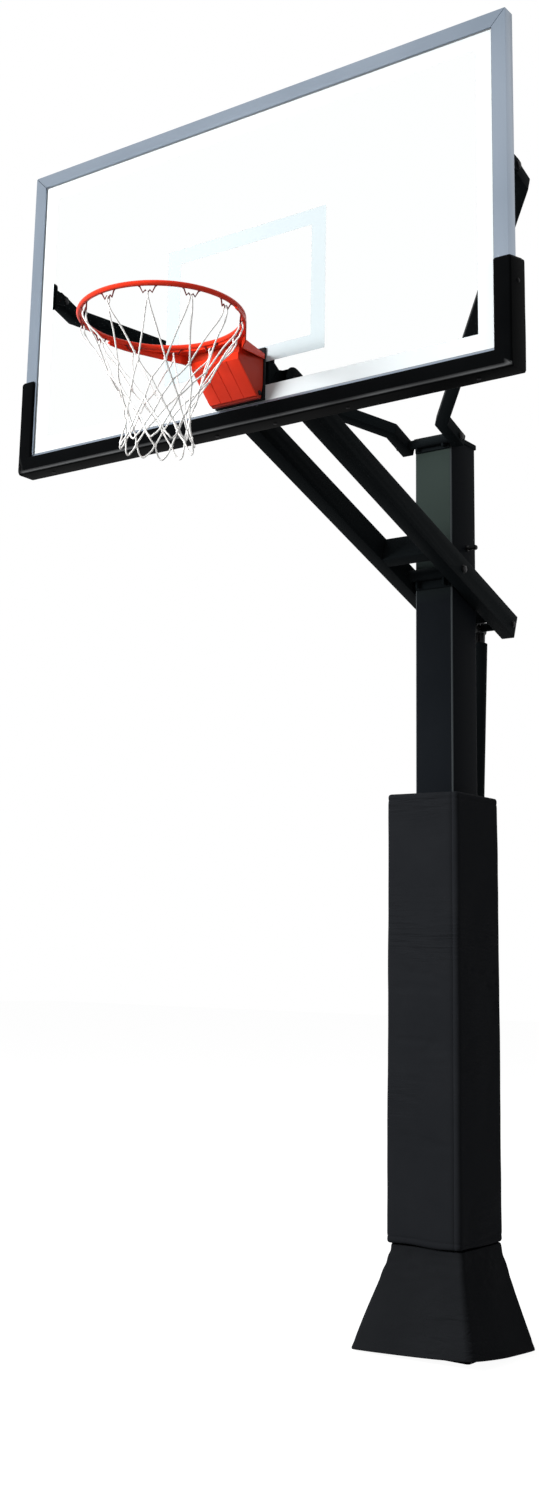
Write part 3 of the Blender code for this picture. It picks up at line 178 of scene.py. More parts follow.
def white_where_seen(tree, low, high):
    """Strength that is high for what is seen, and low for light that a matt surface gathers."""
    ray = tree.nodes.new("ShaderNodeLightPath").outputs
    seen = math_of(tree, "MAXIMUM", ray["Is Camera Ray"], ray["Is Glossy Ray"])
    seen = math_of(tree, "MAXIMUM", seen, ray["Is Transmission Ray"])
    before_matt = math_of(tree, "LESS_THAN", ray["Diffuse Depth"], 0.5)
    return map_range(tree, math_of(tree, "MULTIPLY", seen, before_matt), To_Min=low, To_Max=high)


world = bpy.data.worlds.new("studio_world")
bpy.context.scene.world = world
world.use_nodes = True
tree = world.node_tree
background = tree.nodes["Background"]
background.inputs["Color"].default_value = (1.0, 1.0, 1.0, 1.0)
tree.links.new(white_where_seen(tree, AMBIENT, 1.0), background.inputs["Strength"])

bm = bmesh.new()
bmesh.ops.create_grid(bm, x_segments=1, y_segments=1, size=FLOOR_SIZE)
floor_mesh = bpy.data.meshes.new("studio_floor")
bm.to_mesh(floor_mesh)
bm.free()
floor = add_object("studio_floor", floor_mesh)
floor_paint, tree, shader = new_material(
    "studio_floor", Base_Color=(0.20, 0.20, 0.20, 1.0), Roughness=1.0, Specular_IOR_Level=0.0,
    Emission_Color=(1.0, 1.0, 1.0, 1.0),
)
tree.links.new(white_where_seen(tree, 0.0, FLOOR_WHITE), shader.inputs["Emission Strength"])
floor_mesh.materials.append(floor_paint)


def soft_lamp(name, place, target, size, power):
    lamp_data = bpy.data.lights.new(name, "AREA")
    lamp_data.shape = "DISK"
    lamp_data.size = size
    lamp_data.energy = power
    lamp = add_object(name, lamp_data)
    lamp.visible_glossy = False
    lamp.visible_transmission = False
    lamp.location = place
    lamp.rotation_euler = (Vector(target) - Vector(place)).to_track_quat("-Z", "Y").to_euler()


soft_lamp("key_lamp", (-4.2, -7.6, 4.6), (0.0, -0.6, 1.9), 4.0, 1200.0)
soft_lamp("top_lamp", (-2.0, -3.0, 9.0), (0.0, -0.6, 2.0), 5.0, 220.0)
soft_lamp("fill_lamp", (6.0, -5.0, 3.2), (0.0, -0.8, 2.4), 4.0, 110.0)

# %% [markdown]
# ## Finishes
# Effects that several finishes share are node groups: `patchy` gives soft patches for small colour changes and a
# fine grain for the bump, and `streaks` gives the long drawn lines of extruded or brushed metal.


# %% Shared effect groups
def new_group(name, inputs, outputs):
    group = bpy.data.node_groups.new(name, "ShaderNodeTree")
    for title, kind, value in inputs:
        socket = group.interface.new_socket(title, in_out="INPUT", socket_type=kind)
        socket.default_value = value
    for title in outputs:
        group.interface.new_socket(title, in_out="OUTPUT", socket_type="NodeSocketFloat")
    return group, group.nodes.new("NodeGroupInput"), group.nodes.new("NodeGroupOutput")


patchy, taken, given = new_group(
    "patchy",
    (("Patch Scale", "NodeSocketFloat", 6.0), ("Grain Scale", "NodeSocketFloat", 900.0)),
    ("Patches", "Grain"),
)
place = patchy.nodes.new("ShaderNodeTexCoord")
patch_noise = add_node(patchy, "ShaderNodeTexNoise", None, Detail=4.0, Roughness=0.6)
grain_noise = add_node(patchy, "ShaderNodeTexNoise", None, Detail=2.0, Roughness=0.5)
for texture, scale, result in ((patch_noise, "Patch Scale", "Patches"), (grain_noise, "Grain Scale", "Grain")):
    link(patchy, place, "Object", texture, "Vector")
    link(patchy, taken, scale, texture, "Scale")
    link(patchy, texture, "Fac", given, result)

streaks, taken, given = new_group(
    "streaks",
    (("Stretch", "NodeSocketVector", (4.0, 900.0, 900.0)),),
    ("Lines", "Cloud"),
)
place = streaks.nodes.new("ShaderNodeTexCoord")
pull = add_node(streaks, "ShaderNodeVectorMath", {"operation": "MULTIPLY"})
line_noise = add_node(streaks, "ShaderNodeTexNoise", None, Scale=1.0, Detail=3.0, Roughness=0.6)
cloud_noise = add_node(streaks, "ShaderNodeTexNoise", None, Scale=2.2, Detail=2.0, Roughness=0.5)
link(streaks, place, "Object", pull, 0)
link(streaks, taken, "Stretch", pull, 1)
link(streaks, pull, 0, line_noise, "Vector")
link(streaks, place, "Object", cloud_noise, "Vector")
link(streaks, line_noise, "Fac", given, "Lines")
link(streaks, cloud_noise, "Fac", given, "Cloud")
print("groups", [g.name for g in bpy.data.node_groups])


# %% Helper for a finish with patches, changing roughness and a fine grain
def patched_finish(name, dark, light, rough, patch_scale, grain_scale, grain_depth, **values):
    """Gives the material, its tree, its shader and its bump node. The grain's depth is in metres."""
    made, tree, shader = new_material(name, **values)
    effect = add_node(tree, "ShaderNodeGroup", {"node_tree": patchy}, Patch_Scale=patch_scale,
                      Grain_Scale=grain_scale)
    tree.links.new(blend_colours(tree, effect.outputs["Patches"], dark, light), shader.inputs["Base Color"])
    roughness = map_range(tree, effect.outputs["Patches"], To_Min=rough[0], To_Max=rough[1])
    tree.links.new(roughness, shader.inputs["Roughness"])
    return made, tree, shader, add_bump(tree, shader, effect.outputs["Grain"], 0.5, grain_depth)


# %% [markdown]
# ### Painted and plated metal
# Powder coat is a thin baked plastic skin with a slight orange peel. The post's coat has a painted reflection that
# makes its upper front lighter, and a painted highlight along its front corner, so two masks read the place on the
# post. The red coat is darker on the net hooks, which carry an attribute, and duller on the folded housing. Black
# plated bolts are metal, a little glossier. Extruded aluminium keeps faint lines along each rail, so level and
# upright rails each have a finish.

# %% Metal finishes
black_coat = patched_finish(
    "black_powder_coat", (0.0045, 0.0062, 0.0071), (0.0085, 0.0106, 0.0117), (0.48, 0.62), 5.0, 700.0, 0.0001,
    Specular_IOR_Level=0.010,
)[0]
folded_coat = patched_finish(
    "red_powder_coat_folded", (0.37, 0.020, 0.007), (0.47, 0.029, 0.010), (0.36, 0.50), 14.0, 800.0, 0.0001,
    Specular_IOR_Level=0.22,
)[0]
plated = patched_finish(
    "black_plated_steel", (0.014, 0.014, 0.015), (0.030, 0.030, 0.031), (0.34, 0.54), 60.0, 1500.0, 0.0001,
    Metallic=1.0,
)[0]
bright_steel = patched_finish(
    "zinc_plated_steel", (0.42, 0.42, 0.40), (0.56, 0.56, 0.53), (0.25, 0.45), 40.0, 1200.0, 0.0002,
    Metallic=1.0,
)[0]
print("metal finishes", [m.name for m in bpy.data.materials])

# %% The post's coat, with a painted reflection on its upper front and a painted highlight on its corner
PAINTED_SHEEN_Z = (2.50, 2.80)
PAINTED_SHEEN_Y = (-0.0860, -0.0895)
PAINTED_HIGHLIGHT_Y = -0.0865
PAINTED_HIGHLIGHT_REACH = 0.0025
post_coat, tree, shader, _ = patched_finish(
    "black_powder_coat_post", (0.0042, 0.0052, 0.0066), (0.0080, 0.0094, 0.0114), (0.46, 0.60), 3.0, 700.0, 0.0001,
    Specular_IOR_Level=0.010,
)
place = tree.nodes.new("ShaderNodeTexCoord")
part_of = tree.nodes.new("ShaderNodeSeparateXYZ")
link(tree, place, "Object", part_of, 0)
# Painted reflection: the upper front of the post is lighter, as a soft lamp mirrored in it would make it.
upper = map_range(tree, part_of.outputs["Z"], From_Min=PAINTED_SHEEN_Z[0], From_Max=PAINTED_SHEEN_Z[1])
front = map_range(tree, part_of.outputs["Y"], From_Min=PAINTED_SHEEN_Y[0], From_Max=PAINTED_SHEEN_Y[1])
paint_over(tree, shader, math_of(tree, "MULTIPLY", upper, front), (0.030, 0.041, 0.037))
# Painted highlight: a pale line along the rounded front corner, where the light would catch it.
corner = math_of(tree, "COMPARE", part_of.outputs["Y"], PAINTED_HIGHLIGHT_Y, PAINTED_HIGHLIGHT_REACH)
paint_over(tree, shader, corner, (0.060, 0.068, 0.072))
print("post coat", post_coat.name)

# %% The ring's red coat, darker on the hooks
red_coat, tree, shader, _ = patched_finish(
    "red_powder_coat", (0.66, 0.026, 0.008), (0.78, 0.040, 0.012), (0.30, 0.44), 14.0, 800.0, 0.0001,
    Specular_IOR_Level=0.18,
)
# The hook wires are a darker red than the ring; an attribute marks them.
hook_mark = add_node(tree, "ShaderNodeAttribute", {"attribute_name": "darker_hook_wire"})
paint_over(tree, shader, hook_mark.outputs["Fac"], (0.150, 0.012, 0.010))
print("ring coat", red_coat.name)


# %% Drawn aluminium
def drawn_aluminium(name, stretch):
    """The stretch is the noise's scale in each direction: small along the rail, large across it."""
    made, tree, shader = new_material(name, Metallic=0.9)
    effect = add_node(tree, "ShaderNodeGroup", {"node_tree": streaks}, Stretch=stretch)
    colour = blend_colours(tree, effect.outputs["Cloud"], (0.215, 0.265, 0.330), (0.375, 0.435, 0.515))
    roughness = map_range(tree, effect.outputs["Lines"], To_Min=0.28, To_Max=0.46)
    tree.links.new(colour, shader.inputs["Base Color"])
    tree.links.new(roughness, shader.inputs["Roughness"])
    add_bump(tree, shader, effect.outputs["Lines"], 0.3, 0.0002)
    return made


level_rail = drawn_aluminium("satin_aluminium_level", (3.0, 700.0, 700.0))
upright_rail = drawn_aluminium("satin_aluminium_upright", (700.0, 700.0, 3.0))
print("rail finishes", level_rail.name, upright_rail.name)

# %% [markdown]
# ### Glass, seal, plastic and print
# The pane is clear tempered glass, so its shader passes the light through with a faint green tint. Its index is
# low, because the pane in the photograph reflects next to nothing. The seal and the small plastic pieces are
# matte. The border and the target lines are baked white enamel, a little darker on the target.

# %% Glass, rubber, plastic and enamel
clear_glass, tree, shader = new_material(
    "clear_glass", Base_Color=(0.990, 1.0, 0.998, 1.0), Roughness=0.0, IOR=1.02, Transmission_Weight=1.0
)
effect = add_node(tree, "ShaderNodeGroup", {"node_tree": patchy}, Patch_Scale=3.0, Grain_Scale=8.0)
add_bump(tree, shader, effect.outputs["Grain"], 0.05, 0.0002)
seal_rubber = patched_finish(
    "grey_seal", (0.12, 0.13, 0.14), (0.18, 0.19, 0.20), (0.7, 0.9), 30.0, 900.0, 0.0003, Specular_IOR_Level=0.3
)[0]
black_plastic = patched_finish(
    "black_plastic", (0.008, 0.008, 0.009), (0.015, 0.015, 0.016), (0.44, 0.62), 30.0, 1400.0, 0.0002,
    Specular_IOR_Level=0.06,
)[0]
border_enamel = patched_finish(
    "white_enamel", (0.565, 0.605, 0.620), (0.600, 0.635, 0.645), (0.25, 0.35), 5.0, 1200.0, 0.0001,
    Specular_IOR_Level=0.3,
)[0]
target_enamel = patched_finish(
    "white_enamel_thin", (0.422, 0.480, 0.500), (0.452, 0.506, 0.524), (0.25, 0.35), 5.0, 1200.0, 0.0001,
    Specular_IOR_Level=0.3,
)[0]
print("glass, rubber, plastic and enamel ready")

# %% [markdown]
# ### Soft finishes
# The board pad is moulded foam with a leather-like skin, with a painted highlight along one edge, where an attribute
# says so.
# The post wrap and its foot are coated cloth: fine level creases come from a noise that is squeezed upright, over
# a small grain, and they show only in patches. Webbing and cord are woven, and follow their own UV maps.

# %% Foam skin, coated cloth, webbing and cord
CREASE_DEPTH = 0.0100
foam_skin, tree, shader, _ = patched_finish(
    "moulded_black_foam", (0.0012, 0.0014, 0.0016), (0.0028, 0.0031, 0.0034), (0.36, 0.50), 9.0, 420.0, 0.0003,
    Specular_IOR_Level=0.005,
)
# Painted highlight: a pale line along the pad's lower front edge, read from an attribute.
edge_highlight_node = add_node(tree, "ShaderNodeAttribute", {"attribute_name": "painted_edge_highlight"})
paint_over(tree, shader, edge_highlight_node.outputs["Fac"], (0.160, 0.164, 0.168))


def coated_cloth(name, dark, light, squeeze):
    """The squeeze is the crease noise's scale in each direction: large upright, so creases lie level."""
    made, tree, shader, grain = patched_finish(
        name, dark, light, (0.50, 0.66), 4.0, 800.0, 0.0004, Specular_IOR_Level=0.005
    )
    place = tree.nodes.new("ShaderNodeTexCoord")
    pull = add_node(tree, "ShaderNodeVectorMath", {"operation": "MULTIPLY"})
    pull.inputs[1].default_value = squeeze
    crease = add_node(tree, "ShaderNodeTexNoise", None, Scale=1.0, Detail=4.0, Roughness=0.6, Distortion=0.6)
    where = add_node(tree, "ShaderNodeTexNoise", None, Scale=2.6, Detail=1.0)
    link(tree, place, "Object", pull, 0)
    link(tree, place, "Object", where, "Vector")
    link(tree, pull, 0, crease, "Vector")
    patch = map_range(tree, where.outputs["Fac"], From_Min=0.50, From_Max=0.66)
    height = math_of(tree, "MULTIPLY", patch, crease.outputs["Fac"])
    creased = add_bump(tree, shader, height, 1.0, CREASE_DEPTH)
    link(tree, grain, "Normal", creased, "Normal")
    return made


wrap_vinyl = coated_cloth("charcoal_vinyl", (0.0088, 0.0098, 0.0116), (0.0146, 0.0156, 0.0176), (5.0, 5.0, 60.0))
foot_vinyl = coated_cloth("charcoal_vinyl_foot", (0.0080, 0.0086, 0.0098), (0.0125, 0.0135, 0.0150), (9.0, 9.0, 30.0))


def woven_finish(name, dark, light, across, along, sheen):
    """Threads over and under, on the piece's own UV map in metres."""
    made, tree, shader = new_material(name, Roughness=0.85, Specular_IOR_Level=0.1, Sheen_Weight=sheen)
    place = tree.nodes.new("ShaderNodeTexCoord")
    weave = add_node(tree, "ShaderNodeTexBrick", {"offset": 0.5}, Scale=1.0, Mortar_Size=0.12 * along)
    weave.inputs["Brick Width"].default_value = along
    weave.inputs["Row Height"].default_value = across
    weave.inputs["Color1"].default_value = (*light, 1.0)
    weave.inputs["Color2"].default_value = (*[0.6 * a + 0.4 * b for a, b in zip(light, dark)], 1.0)
    weave.inputs["Mortar"].default_value = (*dark, 1.0)
    link(tree, place, "UV", weave, "Vector")
    link(tree, weave, "Color", shader, "Base Color")
    add_bump(tree, shader, weave.outputs["Fac"], 0.5, 0.0004, invert=True)
    return made


webbing = woven_finish("black_webbing", (0.006, 0.006, 0.006), (0.022, 0.022, 0.023), 0.0018, 0.0036, 0.05)
net_cord = woven_finish("white_cord", (0.93, 0.925, 0.90), (0.98, 0.975, 0.955), 0.0021, 0.0042, 0.8)
thread = patched_finish(
    "bonded_thread", (0.030, 0.030, 0.032), (0.050, 0.050, 0.053), (0.55, 0.75), 300.0, 2500.0, 0.0002,
    Specular_IOR_Level=0.2,
)[0]
print("soft finishes ready")

# %% [markdown]
# ## Metal pieces that keep their CAD shape
# The post, the arms, the brackets and the rails already have the right shape. Their meshes are loose triangles,
# and they must not be edited, so a small geometry-nodes modifier merges the corners and shades round faces
# smooth while it keeps real edges sharp.

# %% Smooth shading as a modifier
SHARP_DEGREES = 34.0
smoother = bpy.data.node_groups.new("merge_and_smooth", "GeometryNodeTree")
for way in ("INPUT", "OUTPUT"):
    smoother.interface.new_socket("Geometry", in_out=way, socket_type="NodeSocketGeometry")
taken = smoother.nodes.new("NodeGroupInput")
given = smoother.nodes.new("NodeGroupOutput")
merge = add_node(smoother, "GeometryNodeMergeByDistance", None, Distance=0.00002)
face_smooth = add_node(smoother, "GeometryNodeSetShadeSmooth", {"domain": "FACE"}, Shade_Smooth=True)
edge_sharp = add_node(smoother, "GeometryNodeSetShadeSmooth", {"domain": "EDGE"}, Shade_Smooth=False)
angle = smoother.nodes.new("GeometryNodeInputMeshEdgeAngle")
steep = add_node(smoother, "FunctionNodeCompare", {"data_type": "FLOAT", "operation": "GREATER_THAN"})
steep.inputs[1].default_value = math.radians(SHARP_DEGREES)
link(smoother, taken, 0, merge, "Geometry")
link(smoother, merge, "Geometry", face_smooth, "Geometry")
link(smoother, face_smooth, "Geometry", edge_sharp, "Geometry")
link(smoother, angle, "Unsigned Angle", steep, 0)
link(smoother, steep, "Result", edge_sharp, "Selection")
link(smoother, edge_sharp, "Geometry", given, 0)
print("modifier group", smoother.name)

# %% A finish for every CAD node
FINISH_OF = {
    "frame_top_rail": level_rail,
    "frame_bottom_rail": level_rail,
    "frame_left_rail": upright_rail,
    "frame_right_rail": upright_rail,
    "frame_seal": seal_rubber,
    "glass_pane": clear_glass,
    "rim_base_plate": black_plastic,
    "post_tube": post_coat,
    "rim_cover": red_coat,
    "rim_flange_plate": red_coat,
    "rim_ring": red_coat,
    "rim_housing": folded_coat,
    "actuator_rod": plated,
    "rim_hinge_spring": bright_steel,
    "net": net_cord,
    "backboard_pad": foam_skin,
    "post_pad": wrap_vinyl,
    "post_pad_foot": foot_vinyl,
    "pad_strap_1": webbing,
    "pad_strap_2": webbing,
}
for name, obj in nodes.items():
    finish = FINISH_OF.get(name, plated if "bolt" in name or "pin" in name else black_coat)
    if name.startswith("pad_rivet"):
        finish = black_plastic
    obj.data.materials.clear()
    obj.data.materials.append(finish)
    modifier = obj.modifiers.new("merge_and_smooth", "NODES")
    modifier.node_group = smoother
nodes["glass_pane"].visible_shadow = False  # the pane in the photograph throws no shadow
print("carried over", len(nodes), "nodes")


# %% [markdown]
# ## Helpers for new pieces
# A new piece starts as a bmesh, gets its finish, sits at the origin with its place in its mesh, and rides on a
# body of the frame.


# %% Make a piece from a bmesh
def new_piece(name, bm, finish, body, smooth_angle):
    """Edges sharper than the angle, in degrees, stay sharp."""
    mesh = bpy.data.meshes.new(name)
    bm.to_mesh(mesh)
    bm.free()
    mesh.shade_smooth()
    mesh.set_sharp_from_angle(angle=math.radians(smooth_angle))
    mesh.materials.append(finish)
    obj = add_object(name, mesh)
    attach(obj, body)
    return obj


def face_outward(bm):
    bmesh.ops.recalc_face_normals(bm, faces=bm.faces)


def round_edges(bm, edges, radius, segments):
    bmesh.ops.bevel(bm, geom=edges, offset=radius, offset_type="OFFSET", segments=segments, profile=0.5,
                    affect="EDGES", material=-1)


def swept_tube(bm, points, radius, sides=8, closed=False, steps=1):
    """Sweeps a round section along points with Blender's curve bevel and adds it to bm, with UVs in metres.
    With more than one step the curve is smooth, else it is straight between its points."""
    curve = bpy.data.curves.new("sweep", "CURVE")
    curve.dimensions = "3D"
    curve.bevel_depth = radius
    curve.bevel_resolution = max(0, sides // 2 - 2)
    curve.use_fill_caps = not closed
    if steps > 1:
        spline = curve.splines.new("BEZIER")
        curve.resolution_u = steps
        spline.bezier_points.add(len(points) - 1)
        for point, place in zip(spline.bezier_points, points):
            point.co = place
            point.handle_left_type = point.handle_right_type = "AUTO"
    else:
        spline = curve.splines.new("POLY")
        spline.points.add(len(points) - 1)
        for point, place in zip(spline.points, points):
            point.co = (*place, 1.0)
    spline.use_cyclic_u = closed
    guide = add_object("sweep", curve)
    graph = bpy.context.evaluated_depsgraph_get()
    mesh = bpy.data.meshes.new_from_object(guide.evaluated_get(graph), depsgraph=graph)
    length = spline.calc_length()
    if mesh.uv_layers:
        for item in mesh.uv_layers[0].data:
            around, along = item.uv
            item.uv = (along * length, around * math.tau * radius)
    bm.from_mesh(mesh)
    bpy.data.objects.remove(guide, do_unlink=True)
    bpy.data.curves.remove(curve)
    bpy.data.meshes.remove(mesh)


# %% [markdown]
# ## Ring and net hooks
# The ring is a bent solid bar. A small circle spun right round the middle gives an exact ring with no seam. Each
# of the twelve hooks is one wire: two legs from a weld bead at the ring, and a small zigzag with two peaks between
# them that holds the net. The wires are a darker red, so an attribute marks their points.

# %% Ring by a full spin, with twelve wire hooks
FACE_Y = -1.2675
EDGE_Z = 2.836
RING_Z = 3.048
RING_ROD = 0.008
RING_MID = 0.2366
RING_Y = -1.6481
ROD_Z = RING_Z - RING_ROD
HOOKS = 12
HOOK_HALF = 0.024
HOOK_DROP = 0.0175
HOOK_PEAK = 0.55
HOOK_WIRE = 0.0023
HOOK_REACH = RING_MID - 0.0065
HOOK_FOOT = RING_MID - 0.003
HOOK_BEAD = 0.0032
HOOK_SHAPE = ((-1.0, None), (-0.54, 1.0), (-0.27, HOOK_PEAK), (0.0, 1.0), (0.27, HOOK_PEAK), (0.54, 1.0),
              (1.0, None))  # sideways, downward; the two ends are at the ring
ring_middle = Vector((0.0, RING_Y, ROD_Z))

bm = bmesh.new()
made = bmesh.ops.create_circle(bm, segments=20, radius=RING_ROD, matrix=Matrix.Rotation(math.pi / 2, 4, "X"))
bmesh.ops.translate(bm, verts=bm.verts, vec=(RING_MID, 0.0, 0.0))
bmesh.ops.spin(bm, geom=bm.verts[:] + bm.edges[:], cent=(0, 0, 0), axis=(0, 0, 1), angle=math.tau, steps=144,
               use_merge=True, use_duplicate=False)
bmesh.ops.translate(bm, verts=bm.verts, vec=ring_middle)
bmesh.ops.remove_doubles(bm, verts=bm.verts, dist=0.00001)
face_outward(bm)
darker_hook_wire = bm.verts.layers.float.new("darker_hook_wire")
rod_count = len(bm.verts)
for number in range(HOOKS):
    turn = math.tau * number / HOOKS
    radial = Vector((math.cos(turn), math.sin(turn), 0.0))
    tangent = Vector((-radial.y, radial.x, 0.0))
    wire = []
    for across, drop in HOOK_SHAPE:
        reach = HOOK_REACH if drop else HOOK_FOOT
        z = -RING_ROD - drop * HOOK_DROP if drop else -RING_ROD * 0.5
        wire.append(ring_middle + radial * reach + tangent * across * HOOK_HALF + Vector((0, 0, z)))
    swept_tube(bm, wire, HOOK_WIRE)
    for end in (wire[0], wire[-1]):
        bead = bmesh.ops.create_icosphere(bm, subdivisions=2, radius=HOOK_BEAD)
        bmesh.ops.translate(bm, verts=bead["verts"], vec=end + Vector((0, 0, -0.003)))
bm.verts.ensure_lookup_table()
for vert in bm.verts[rod_count:]:
    vert[darker_hook_wire] = 1.0
ring = new_piece("ring_and_hooks", bm, red_coat, "rim", 60.0)
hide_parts("rim_ring")
print("ring faces", len(ring.data.polygons))

# %% [markdown]
# ## Net
# The net is white braided cord, knotted into diamonds that narrow and flare again. It is not one cloth, so each
# cord is its own smooth curve with a round section. At the top each cord goes over a hook, and at the bottom the
# cords end in open round loops. Seeded random moves keep the knots from standing in perfect rows, and each knot is
# one more closed cord, a small trefoil.

# %% Net cords, knots and loops
NET_CORD = 0.0050
WIRE_LOW_Z = RING_Z - 2 * RING_ROD - HOOK_DROP
OVER_WIRE = HOOK_WIRE + NET_CORD / 2 + 0.0005
NET_TOP_Z = WIRE_LOW_Z - OVER_WIRE
NET_ROWS = ((0.0, 0.2301), (0.152, 0.1450), (0.198, 0.1160), (0.243, 0.0990), (0.286, 0.0931), (0.328, 0.0965),
            (0.366, 0.1065))  # drop below the hooks, radius
CORD_STEPS = 4
STRAND_SPREAD = 0.003
STRAND_LOW = Vector((0, 0, -0.012))
LOOP_LIFT = Vector((0, 0, 0.007))
KNOT_LOOSE = 0.004
KNOT_CORD = NET_CORD * 0.42
KNOT_STEPS = 15
KNOT_SIZE = 0.0014
KNOT_DEPTH = 0.0018
random.seed(7)
knots = []
for row, (drop, radius) in enumerate(NET_ROWS):
    line = []
    for column in range(HOOKS):
        turn = math.tau * (column + 0.5 * (row % 2)) / HOOKS
        loose = 0.0 if row == 0 else KNOT_LOOSE
        turn += random.uniform(-loose, loose) / radius
        far = radius + random.uniform(-loose, loose) * 0.6
        z = NET_TOP_Z - drop + random.uniform(-loose, loose)
        line.append(Vector((far * math.cos(turn), RING_Y + far * math.sin(turn), z)))
    knots.append(line)


def outward(point):
    return Vector((point.x, point.y - RING_Y, 0.0)).normalized()


bm = bmesh.new()
LAST = len(NET_ROWS) - 1
for column in range(HOOKS):
    top = knots[0][column]
    away = outward(top)
    side = Vector((-away.y, away.x, 0.0))
    saddle = top + Vector((0, 0, OVER_WIRE))
    before, after = knots[1][column - 1], knots[1][column]
    path = [before, before.lerp(top, 0.5) - away * 0.002,
            top - away * OVER_WIRE - side * STRAND_SPREAD + STRAND_LOW,
            saddle - away * OVER_WIRE * 0.8, saddle + Vector((0, 0, OVER_WIRE * 0.8)),
            saddle + away * OVER_WIRE * 0.8, top + away * OVER_WIRE + side * STRAND_SPREAD + STRAND_LOW,
            after.lerp(top, 0.5) + away * 0.001, after]
    swept_tube(bm, path, NET_CORD / 2, steps=CORD_STEPS)
for row in range(1, LAST - 1):
    for column in range(HOOKS):
        start = knots[row][column]
        shift = 1 if row % 2 else 0
        for end in (knots[row + 1][(column + shift) % HOOKS], knots[row + 1][(column + shift - 1) % HOOKS]):
            middle = start.lerp(end, 0.5) + outward(start) * random.uniform(-0.002, 0.003)
            middle.z -= random.uniform(0.0, 0.003)
            swept_tube(bm, [start, middle, end], NET_CORD / 2, steps=CORD_STEPS)
for column in range(HOOKS):
    left, right_knot, low = knots[LAST - 1][column - 1], knots[LAST - 1][column], knots[LAST][column]
    span = (right_knot - left) * 0.5
    path = [left, left.lerp(low, 0.55) - span * 0.20, low - span * 0.36 + LOOP_LIFT, low,
            low + span * 0.36 + LOOP_LIFT, right_knot.lerp(low, 0.55) + span * 0.20, right_knot]
    swept_tube(bm, path, NET_CORD / 2, steps=CORD_STEPS)
for row in range(1, LAST):
    for point in knots[row]:
        away = outward(point)
        side = Vector((-away.y, away.x, 0.0))
        loop = []
        for step in range(KNOT_STEPS):
            t = math.tau * step / KNOT_STEPS
            flat = side * (math.sin(t) + 2 * math.sin(2 * t)) + Vector((0, 0, math.cos(t) - 2 * math.cos(2 * t)))
            loop.append(point + flat * KNOT_SIZE - away * math.sin(3 * t) * KNOT_DEPTH)
        swept_tube(bm, loop, KNOT_CORD, 6, closed=True)
net = new_piece("knotted_net", bm, net_cord, "rim", 80.0)
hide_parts("net")
print("net faces", len(net.data.polygons))

# %% [markdown]
# ## Border and target lines
# Glass boards have a band of white enamel round the edge and a rectangle behind the ring. Each is a very thin
# outline laid on the front of the glass: a plane, inset to a band, with the middle taken away.

# %% White border and target rectangle
BOARD_W = 1.829
BOARD_H = 1.067
RAIL_FACE = 0.046
GLASS_Y = FACE_Y + 0.008
SEAL_LAP = 0.0075
BORDER_BAND = 0.050
TARGET_W = 0.6096
TARGET_H = 0.457
TARGET_BAND = 0.051
TARGET_LOW_Z = 3.010
ENAMEL_T = 0.00015


def enamel_band(name, centre, width, height, band, finish):
    bm = bmesh.new()
    bmesh.ops.create_grid(bm, x_segments=1, y_segments=1, size=0.5)
    bmesh.ops.scale(bm, vec=(width, height, 1.0), verts=bm.verts)
    inner = bmesh.ops.inset_region(bm, faces=bm.faces[:], thickness=band, use_boundary=True, use_even_offset=True)
    middle = [f for f in bm.faces if f not in inner["faces"]]
    bmesh.ops.delete(bm, geom=middle, context="FACES")
    bmesh.ops.rotate(bm, cent=(0, 0, 0), matrix=Matrix.Rotation(math.pi / 2, 3, "X"), verts=bm.verts)
    face_outward(bm)
    bmesh.ops.solidify(bm, geom=bm.faces[:], thickness=ENAMEL_T)
    bmesh.ops.translate(bm, verts=bm.verts, vec=(centre[0], GLASS_Y - 0.0001, centre[1]))
    face_outward(bm)
    return new_piece(name, bm, finish, "board", 30.0)


glass_w = BOARD_W - 2 * RAIL_FACE - SEAL_LAP
glass_h = BOARD_H - 2 * RAIL_FACE - SEAL_LAP
border = enamel_band("board_border", (0.0, EDGE_Z + BOARD_H / 2), glass_w, glass_h, BORDER_BAND, border_enamel)
target = enamel_band("target_lines", (0.0, TARGET_LOW_Z + TARGET_H / 2), TARGET_W, TARGET_H, TARGET_BAND,
                     target_enamel)
print("enamel", border.name, target.name)

# %% [markdown]
# ## Pivot bolts
# Every joint of the lift turns on a long hexagon bolt through both arms. The CAD node gives each bolt's place and
# length. The piece made here adds what a hand would feel: a chamfered head, a washer at each end, and a nut
# with the end of the thread standing out of it. The bolt through the post also has a nut on each of its faces.

# %% Hexagon bolts with washers and nuts
POST_HALF = 0.076
CROSS_HEAD = 0.0100
CROSS_NUT = 0.0112
CROSS_NUT_T = 0.0065
SEAT_GAP = 0.0004
WASHER_SHARE = 0.16
THREAD_SHARE = 0.22
BOLTS = (  # node, body, shank radius, head height
    ("main_pivot_bolt", "post", 0.0095, 0.0100),
    ("upper_pivot_bolt", "post", 0.0095, 0.0100),
    ("post_cross_bolt", "post", 0.0070, 0.0080),
    ("actuator_lower_pin", "post", 0.0080, 0.0070),
    ("tail_pin", "lower_arms", 0.0080, 0.0080),
    ("board_pivot_bolt", "board", 0.0095, 0.0100),
    ("arm_end_pin_left", "board", 0.0080, 0.0060),
    ("arm_end_pin_right", "board", 0.0080, 0.0060),
    ("rim_hinge_pin", "board", 0.0050, 0.0035),
)


def add_disc(bm, sides, radius, from_x, to_x, middle, chamfer=0.0):
    """A prism along X between two places; chamfer cuts the rim of its end at to_x."""
    place = Matrix.Translation(((from_x + to_x) / 2, middle.y, middle.z)) @ Matrix.Rotation(math.pi / 2, 4, "Y")
    made = bmesh.ops.create_cone(bm, cap_ends=True, segments=sides, radius1=radius, radius2=radius,
                                 depth=abs(to_x - from_x), matrix=place)
    if chamfer:
        outer = [v for v in made["verts"] if abs(v.co.x - to_x) < 1e-6]
        rim = [e for e in {e for v in outer for e in v.link_edges} if all(v in outer for v in e.verts)]
        round_edges(bm, rim, chamfer, 2)


